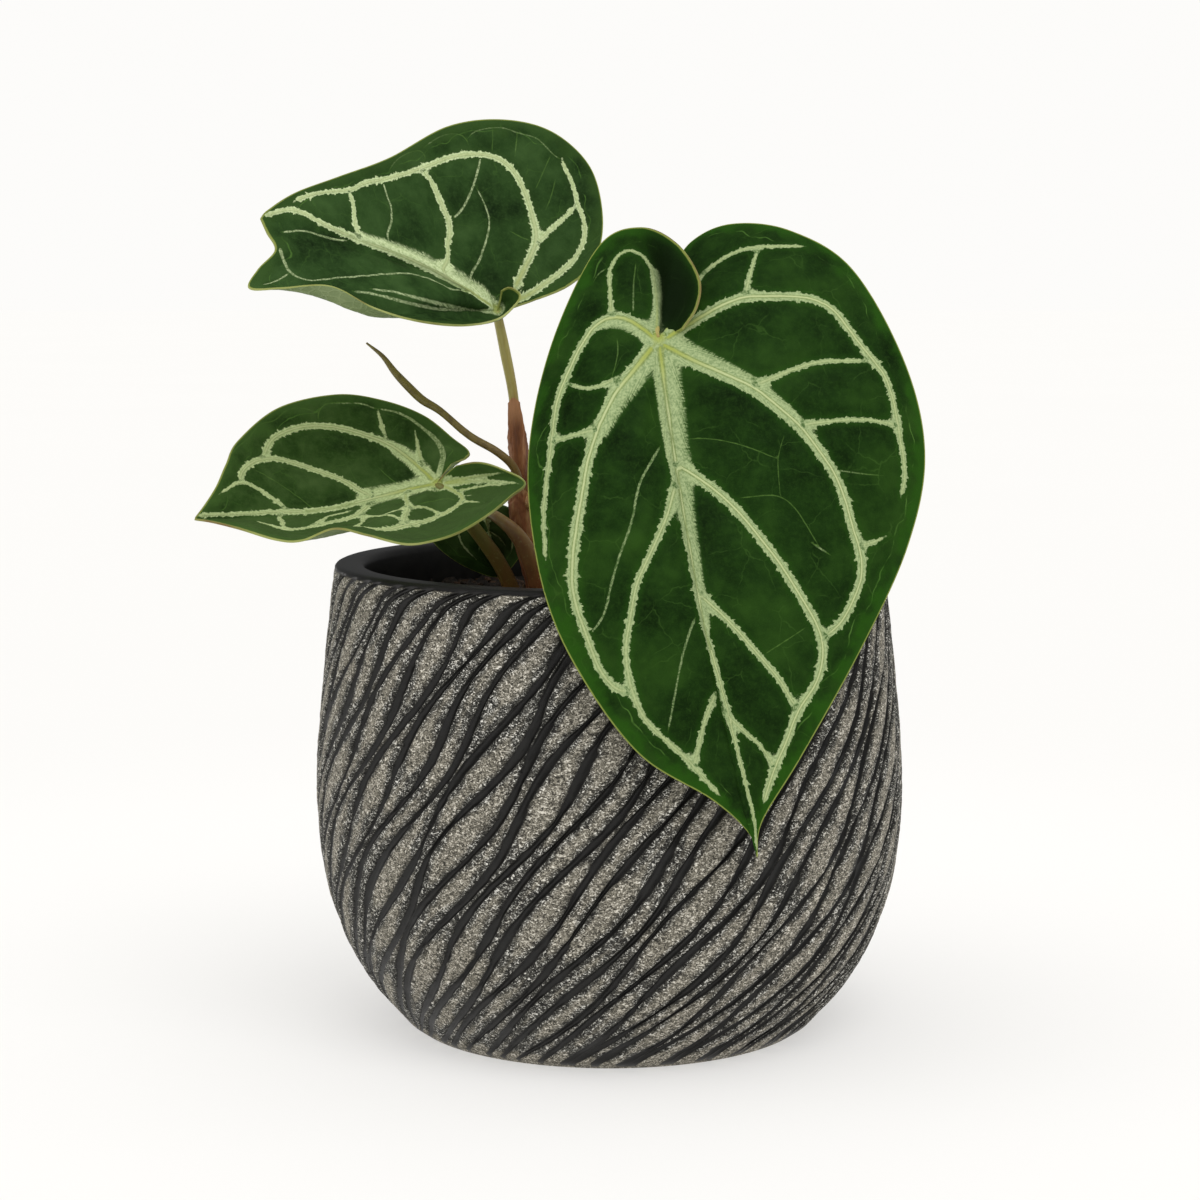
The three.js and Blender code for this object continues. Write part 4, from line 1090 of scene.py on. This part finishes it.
def planter_finish():
    """Dark satin glaze in the grooves and on the lip, speckled stoneware on the lands."""
    f = Finish("planter_stoneware", Specular_IOR_Level=0.35)
    worm = f.noise(950, 2.0, 0.55, (1, 1, 1.5), 1.6)
    grain = worm * 0.72 + f.noise(2100, 3, 0.7) * 0.28
    # Wide lands are beige with a fine grain, and their thin ends and edges
    # are dark with pale flecks.
    beside = f.fact("groove") + (f.noise(75, 3, 0.6) - 0.5) * 8
    beige = grain.ramp((0.4, (52, 50, 43)), (0.48, (110, 106, 94)), (0.55, (146, 140, 126)),
                       (0.62, (224, 219, 206)))
    dusk = grain.ramp((0.42, (22, 21, 18)), (0.5, (58, 57, 52)), (0.57, (108, 107, 100)),
                      (0.61, (226, 224, 216)))
    glazed = (f.fact("glaze") + (worm - 0.5) * 1.5).step(0.4, 0.62)
    dark = f.noise(260, 3, 0.6).ramp((0.35, (12, 11, 9)), (0.7, (22, 21, 18)))
    f.link(Base_Color=f.mix(glazed, f.mix(beside.step(1.4, 3.8), dusk, beige), dark),
           Roughness=glazed.step(0, 1, 0.8, 0.42))
    f.bump(grain * glazed.step(0, 1, 1, 0.12), 0.5, 1.0)
    return f.material


# Potting mix.
SOIL_RADIUS = RIM_INNER_RADIUS - 0.4
SOIL_RINGS = 74
SOIL_SIDES = 240
SOIL_LUMPS = 0.55
SOIL_FOOT = 118
CHIP_COUNT = 900
CHIP_SIZE = (0.7, 2.6)
CROWN_CLEAR = (14, 13)  # no chip within this of the crown's middle


def soil_height(x, y):
    lumps = (np.sin(0.17 * x + 1.3) * np.sin(0.21 * y + 0.4)
             + 0.6 * np.sin(0.43 * x - 0.31 * y + 2) + 0.4 * np.sin(0.71 * y + 0.52 * x))
    mound = 1.5 * np.exp(-((x + 20) ** 2 + y**2) / 500)
    return SOIL_LEVEL - 1 + SOIL_LUMPS * lumps + mound


def chip(rng, size):
    """A rough chip: a ball of 20 points knocked out of shape."""
    points = [np.array([0, 0, 1.0])]
    for tilt in (0.8, 1.57, 2.34):
        a = np.arange(6) / 6 * FULL_TURN + rng.uniform(0, 1)
        points.extend(ball_ring(tilt, a))
    points.append(np.array([0, 0, -1.0]))
    points = np.array(points) * rng.uniform(0.72, 1.15, (20, 1)) * size
    faces = np.concatenate([fan_faces(np.arange(1, 7), 0), grid_faces(3, 6)[:, ::-1] + 1,
                            fan_faces(np.arange(13, 19), 19, flip=True)])
    turn, _ = np.linalg.qr(rng.normal(size=(3, 3)))
    if np.linalg.det(turn) < 0:
        turn[:, 0] *= -1
    return points @ turn.T * np.array([1, 1, rng.uniform(0.3, 0.8)]), faces


def soil_piece():
    """Dark potting mix: a crumbled top with bark chips."""
    azimuth = np.arange(SOIL_SIDES) * 360 / SOIL_SIDES
    radii = SOIL_RADIUS * (np.arange(1, SOIL_RINGS + 1) / SOIL_RINGS)
    points = np.concatenate([*(ring(r, azimuth, 0.0) for r in radii[::-1]), [[0, 0, 0]]])
    flat = points[:, :2]
    crumbs = 0.9 * waves(flat, 6, 31) + 0.7 * waves(flat, 3.1, 32) + 0.35 * waves(flat, 1.7, 33)
    points[:, 2] = soil_height(points[:, 0], points[:, 1]) + crumbs
    start = len(points)
    points = np.concatenate([points, ring(SOIL_RADIUS, azimuth, SOIL_FOOT), [[0, 0, SOIL_FOOT]]])
    k = np.arange(SOIL_SIDES)
    n = (k + 1) % SOIL_SIDES
    faces = np.concatenate([
        grid_faces(SOIL_RINGS, SOIL_SIDES), fan_faces(k + start - 1 - SOIL_SIDES, start - 1),
        quad_faces(start + k, start + n, n, k),
        fan_faces(start + k, start + SOIL_SIDES, flip=True)])
    parts = [(points, faces, np.zeros(len(points)))]
    rng = np.random.default_rng(17)
    while len(parts) <= CHIP_COUNT:
        r, a = SOIL_RADIUS * math.sqrt(rng.uniform(0, 1)), rng.uniform(0, FULL_TURN)
        size = rng.uniform(*CHIP_SIZE) ** 1.1
        x, y = r * math.cos(a), r * math.sin(a)
        crown = math.hypot((x - CROWN_CENTRE[0]) / CROWN_CLEAR[0],
                           (y - CROWN_CENTRE[1]) / CROWN_CLEAR[1])
        if r > SOIL_RADIUS - size * 1.25 or crown < 1:
            continue
        points, faces = chip(rng, size * np.array([1, rng.uniform(0.5, 1), 0.6]))
        points += [x, y, soil_height(x, y) + 0.5 * size * rng.uniform(0.1, 0.9)]
        parts.append((points, faces, np.full(len(points), rng.uniform(0.15, 1))))
    points, faces, tone = joined(parts)
    make_piece("potting_mix_surface", "potting_mix", points, faces,
               [soil_finish()], {"tone": tone}, sharp=60)


def soil_finish():
    f = Finish("potting_mix", Roughness=0.95, Specular_IOR_Level=0.25)
    crumb = f.noise(700, 4, 0.7)
    peat = crumb.ramp((0.35, (14, 11, 8)), (0.6, (34, 26, 19)), (0.75, (58, 45, 33)))
    bark = f.noise(240, 4, 0.7).ramp((0.35, (36, 25, 17)), (0.55, (66, 45, 30)),
                                     (0.72, (98, 72, 48)))
    f.link(Base_Color=f.mix(f.fact("tone"), peat, bark))
    f.bump(crumb + f.noise(2100, 3, 0.7), 0.5, 0.9)
    return f.material


# Stalks, sheaths, crown and new leaf.


def tube(run, radii, sides=24, step=0.9, shape=None):
    """A round run of rings; shape(share, angle) scales the radius."""
    centres, share = sampled(np.array(run, float), step)
    tangents = unit(np.gradient(centres, axis=0))
    wide = through(radii, share * (len(radii) - 1))
    side = unit(np.cross(tangents[0], [0.3, 0.2, 1]))
    angle = np.arange(sides) / sides * FULL_TURN
    rows = []
    for centre, tangent, radius, at in zip(centres, tangents, wide, share):
        side = unit(side - tangent * (side @ tangent))
        up = np.cross(tangent, side)
        r = radius * (shape(at, angle) if shape else 1 + 0 * angle)
        rows.append(centre + r[:, None] * (np.cos(angle)[:, None] * side
                                           + np.sin(angle)[:, None] * up))
    points = np.concatenate([*rows, [centres[0]], [centres[-1]]])
    along = np.concatenate([np.repeat(share, sides), [0, 1]])
    return points, capped_faces(len(rows), sides), along


def stalk_finish(name, low, high, blush, blush_share):
    """Smooth stalk, one colour at the foot and another at the top, fine lines."""
    f = Finish(name, Roughness=0.42, Specular_IOR_Level=0.45)
    grain = f.noise(260, 3, 0.6, (1, 1, 0.12))
    mottle = f.noise(180, 3, 0.6)
    base = f.mix((f.fact("along") + (mottle - 0.5) * 0.5).step(0.1, 0.85), low, high)
    lined = f.mix(grain.step(0.4, 0.7, 0, 0.45), base, blush)
    blushed = f.mix(mottle.step(0.45, 0.7, 0, blush_share), lined, blush)
    f.link(Base_Color=f.mix(f.noise(1300).step(0.62, 0.72, 0, 0.35), blushed, (176, 168, 112)))
    f.bump(grain + f.noise(1500), 0.12, 0.5)
    return f.material


def stalk_piece(name, stalk, leaf, finish):
    """A fluted stalk that narrows into the joint of its leaf."""
    def fluted(at, angle):
        narrowed = 1 - 0.6 * float(ease(0.975, 1, at))
        return narrowed * (1 + 0.025 * np.cos(3 * angle + 5 * at) + 0.02 * np.cos(7 * angle)
                           + 0.03 * math.sin(at * 23) * math.sin(at * 9 + 1))

    points, faces, along = tube([*stalk["line"], leaf["join"]], stalk["radii"], shape=fluted)
    make_piece(f"{name}_stalk", f"{name}_leaf_petiole", points, faces, [finish],
               {"along": along})


SHEATH_HALF = 140  # degrees round the stalk, to either side of its front


def sheath_mesh(spec, steps=90, arc=30):
    """A slit tube round the stalk, open at its back, with a blunt tip."""
    share = np.linspace(0, 1, steps + 1)
    centres = through(spec["line"], share * (len(spec["line"]) - 1))
    tangents = unit(np.gradient(centres, axis=0))
    wide = through(spec["outer"], share * (len(spec["outer"]) - 1))
    across = np.linspace(-1, 1, arc)
    points = []
    for centre, tangent, at, outer in zip(centres, tangents, share, wide):
        side = unit(np.array([1.0, 0, 0]) - tangent * tangent[0])
        front = np.cross(side, tangent)
        half = math.radians(SHEATH_HALF) * (1 - 0.7 * float(ease(1 - spec["tip"], 1, at)))
        half *= 1 + 0.04 * math.sin(at * 31) * math.sin(at * 12)
        drop = 1.6 * float(ease(1 - spec["tip"] / 2, 1, at))
        a = across * half
        ribs = 0.07 * np.cos(a * 15) + 0.05 * np.cos(a * 34 + at * 9)
        crease = 0.10 * np.sin(at * 60 + 3 * np.sin(a * 4)) * np.sin(at * 17)
        outside = outer - 0.15 + ribs + crease + 0.35 * np.abs(across) ** 6
        thick = np.where(np.abs(across) > 0.9, 0.25, outer - spec["inner"] - 0.05)
        inside = np.maximum(outside - np.maximum(0.22, thick), spec["inner"] - 0.3)
        for radius, angles in ((outside, a), (inside[::-1], a[::-1])):
            points.append(centre + radius[:, None] * (
                np.cos(angles)[:, None] * front + np.sin(angles)[:, None] * side)
                - drop * ((angles / half) ** 2)[:, None] * tangent)
    count = 2 * arc
    top = steps * count
    k = np.arange(arc - 1)
    inner = count - 1 - k
    faces = [grid_faces(steps + 1, count), quad_faces(k, inner, inner - 1, k + 1),
             quad_faces(top + k, top + k + 1, top + inner - 1, top + inner)]
    return np.concatenate(points), np.concatenate(faces), np.repeat(share, count)


def sheath_finish(name, dark, mid, light):
    """Dry papery sheath: reddish brown, darker in streaks, paler along ribs."""
    f = Finish(name, Roughness=0.55, Specular_IOR_Level=0.4)
    streak = f.noise(330, 4, 0.65, (1, 1, 0.14))
    base = streak.ramp((0.32, dark), (0.5, mid), (0.68, light))
    spotted = f.mix(f.noise(150, 4, 0.65).step(0.48, 0.7, 0, 0.55), base, dark)
    f.link(Base_Color=f.mix(f.fact("along").step(0.86, 0.97, 0.05, 0.75), spotted, light))
    f.bump(streak + f.noise(1200, 3) * 0.4, 0.3, 0.7)
    return f.material


def sheath_piece(name, parts, *colours):
    points, faces, along = joined(parts)
    finish = sheath_finish(f"{name}_paper", *colours)
    make_piece(f"{name}_paper", name, points, faces, [finish], {"along": along}, 60)


def ball(centre, half, rows, sides, lumps, along):
    """A lumpy closed ball."""
    around = np.arange(sides) / sides * FULL_TURN
    body = [ball_ring(tilt, around) for tilt in np.linspace(math.pi, 0, rows + 2)[1:-1]]
    points = np.concatenate([*body, [[0, 0, -1.0]], [[0, 0, 1.0]]])
    points = points * (1 + lumps * waves(points * 10, 7, 2))[:, None]
    return points * half + centre, capped_faces(rows, sides), np.full(len(points), along)


def crown_piece():
    """The short stem: a lumpy knob with scars and a few dry scale tips."""
    parts = [ball(CROWN_CENTRE, np.array(CROWN_HALF) * 0.97, 36, 60, 0.05, 0.0)]
    rng = np.random.default_rng(9)
    for k in range(9):
        a = k / 9 * FULL_TURN + rng.uniform(-0.2, 0.2)
        out = np.array([math.cos(a), math.sin(a), 0])
        start = np.array(CROWN_CENTRE) + out * [8.5, 7.8, 0] + [0, 0, 2.5]
        run = [start, start + out * 1.2 + [0, 0, 2.2], start + out * 1.9 + [0, 0, 4.4]]
        parts.append(tube(run, [1.7, 1.2, 0.15], 12, 0.6))
    points, faces, along = joined(parts)
    bark = sheath_finish("crown_bark", (42, 30, 20), (84, 62, 38), (128, 104, 66))
    make_piece("crown_stem", "crown", points, faces, [bark], {"along": along})


def new_leaf_piece():
    """The new stalk with its blade still rolled into a spindle."""
    def rolled(at, angle):
        if at < ROLLED_FROM:
            return 1 + 0.03 * np.cos(3 * angle)
        turn = np.mod(angle + 5 * (at - ROLLED_FROM), FULL_TURN) / FULL_TURN
        amount = float(ease(ROLLED_FROM, ROLLED_FROM + 0.08, at))
        return 1 + amount * (0.3 * turn - 0.2 + 0.02 * np.cos(9 * angle))

    points, faces, along = tube(NEW_LEAF["line"], NEW_LEAF["radii"], 36, 0.6, rolled)
    f = Finish("new_leaf_bronze", Roughness=0.45, Specular_IOR_Level=0.45)
    streak = f.noise(420, 3, 0.6)
    base = f.mix(f.fact("along").step(0.1, 0.8), (116, 76, 34), (112, 102, 46))
    f.link(Base_Color=f.mix(streak.step(0.42, 0.68, 0, 0.4), base, (66, 46, 20)))
    f.bump(streak + f.noise(1600), 0.15, 0.6)
    make_piece("new_leaf_rolled", "new_leaf", points, faces, [f.material],
               {"along": along}, 50)


# The pieces.
UNDERSIDE = leaf_underside()
RIM = leaf_rim()

planter_piece()
soil_piece()
crown_piece()

FRONT_TOP = leaf_top("front_leaf_top", ((10, 28, 4), (23, 48, 11), (40, 70, 20)), (38, 78, 15),
                     ((122, 142, 96), (166, 182, 132)))
UPPER_TOP = leaf_top("upper_leaf_top", ((18, 36, 12), (39, 64, 27), (58, 85, 42)), (50, 76, 32),
                     ((159, 179, 125), (206, 220, 171)))
LEFT_TOP = leaf_top("left_leaf_top", ((20, 38, 11), (41, 66, 24), (70, 94, 48)), (60, 88, 38),
                    ((144, 163, 108), (190, 205, 150)), 0.65)
leaf_piece("front_leaf", FRONT_LEAF, FRONT_VEINS, FRONT_PALE, FRONT_TOP, 1.2, 181)
leaf_piece("upper_leaf", UPPER_LEAF, UPPER_VEINS, UPPER_PALE, UPPER_TOP)
leaf_piece("left_leaf", LEFT_LEAF, LEFT_VEINS, LEFT_PALE, LEFT_TOP)
leaf_piece("inner_leaf", INNER_LEAF, INNER_VEINS, INNER_PALE, LEFT_TOP)

OLIVE = stalk_finish("stalk_olive", (150, 128, 64), (170, 162, 92), (140, 112, 56), 0.3)
DARK_OLIVE = stalk_finish("stalk_dark_olive", (122, 92, 44), (112, 116, 52), (130, 78, 42), 0.25)
RED = stalk_finish("stalk_reddish", (140, 84, 50), (136, 118, 68), (118, 62, 38), 0.5)
stalk_piece("front", FRONT_STALK, FRONT_LEAF, OLIVE)
stalk_piece("upper", UPPER_STALK, UPPER_LEAF, OLIVE)
stalk_piece("left", LEFT_STALK, LEFT_LEAF, DARK_OLIVE)
stalk_piece("inner", INNER_STALK, INNER_LEAF, RED)
new_leaf_piece()
sheath_piece("upper_sheath", [sheath_mesh(UPPER_SHEATH)],
             (98, 54, 28), (134, 82, 46), (184, 134, 94))
sheath_piece("lower_sheath", [sheath_mesh(LOWER_SHEATH), ball(BUD_AT, BUD_HALF, 16, 20, 0.04, 1.0)],
             (112, 62, 38), (150, 92, 58), (190, 150, 104))


# Studio.


def add_sun(name, toward, strength, softness):
    light = bpy.data.lights.new(name, "SUN")
    light.energy = strength
    light.angle = math.radians(softness)
    add_object(name, light).rotation_euler = Vector(toward).to_track_quat("-Z", "Y").to_euler()


FLOOR_HALF = 14.0  # metres


def studio():
    """Pale floor that glows as painted light, most near the pot where it lifts the pot's shadow, even
    white surround and a soft light from the upper right.
    """
    mesh = bpy.data.meshes.new("floor")
    corners = [(x * FLOOR_HALF, y * FLOOR_HALF, 0) for x, y in ((-1, -1), (1, -1), (1, 1), (-1, 1))]
    mesh.from_pydata(corners, [], [(0, 1, 2, 3)])
    f = Finish("floor_paper", Roughness=0.9, Specular_IOR_Level=0.0, Emission_Strength=1.0)
    # Painted light: the floor glows, most within 0.12 m of the middle and fading out to 0.6 m, to thin
    # the pot's shadow.
    length = f.node("ShaderNodeVectorMath", (0, f.place()), operation="LENGTH").outputs["Value"]
    shadow_lifting_glow = f.mix(Value(f, length).step(0.12, 0.6), (0.487, 0.482, 0.475, 1),
                 (0.433, 0.428, 0.421, 1))
    paper = f.noise(2).ramp((0.3, (0.446, 0.443, 0.435, 1)), (0.7, (0.45, 0.447, 0.439, 1)))
    f.link(Emission_Color=shadow_lifting_glow, Base_Color=paper)
    mesh.materials.append(f.material)
    add_object("floor", mesh)

    # The surround lights and shows as white, and gives darker reflections,
    # as black cards beside a studio table do.
    world = bpy.data.worlds.new("studio")
    bpy.context.scene.world = world
    world.use_nodes = True
    tree = world.node_tree
    white, dim = tree.nodes["Background"], tree.nodes.new("ShaderNodeBackground")
    white.inputs["Color"].default_value = (0.98, 0.972, 0.955, 1)
    dim.inputs["Color"].default_value = (0.2, 0.2, 0.2, 1)
    path, either = tree.nodes.new("ShaderNodeLightPath"), tree.nodes.new("ShaderNodeMixShader")
    tree.links.new(path.outputs["Is Glossy Ray"], either.inputs[0])
    tree.links.new(white.outputs[0], either.inputs[1])
    tree.links.new(dim.outputs[0], either.inputs[2])
    tree.links.new(either.outputs[0], tree.nodes["World Output"].inputs["Surface"])

    add_sun("key", (-0.35, 0.75, -1.3), 0.75, 40)
    add_sun("fill", (0.8, 0.5, -0.9), 0.27, 60)


CAMERA_AT = (-2.88, -839.3, 231.2)
CAMERA_PITCH = 6.895
CAMERA_LENS = 82.64
CAMERA_SENSOR = 36


def camera():
    lens = bpy.data.cameras.new("camera")
    lens.lens = CAMERA_LENS
    lens.sensor_width = CAMERA_SENSOR
    lens.clip_start = 0.05
    lens.clip_end = 60
    view = add_object("camera", lens)
    view.location = Vector(CAMERA_AT) * MM
    view.rotation_euler = (math.radians(90 - CAMERA_PITCH), 0, 0)
    bpy.context.scene.camera = view


studio()
camera()
bpy.context.scene.view_settings.view_transform = "Standard"
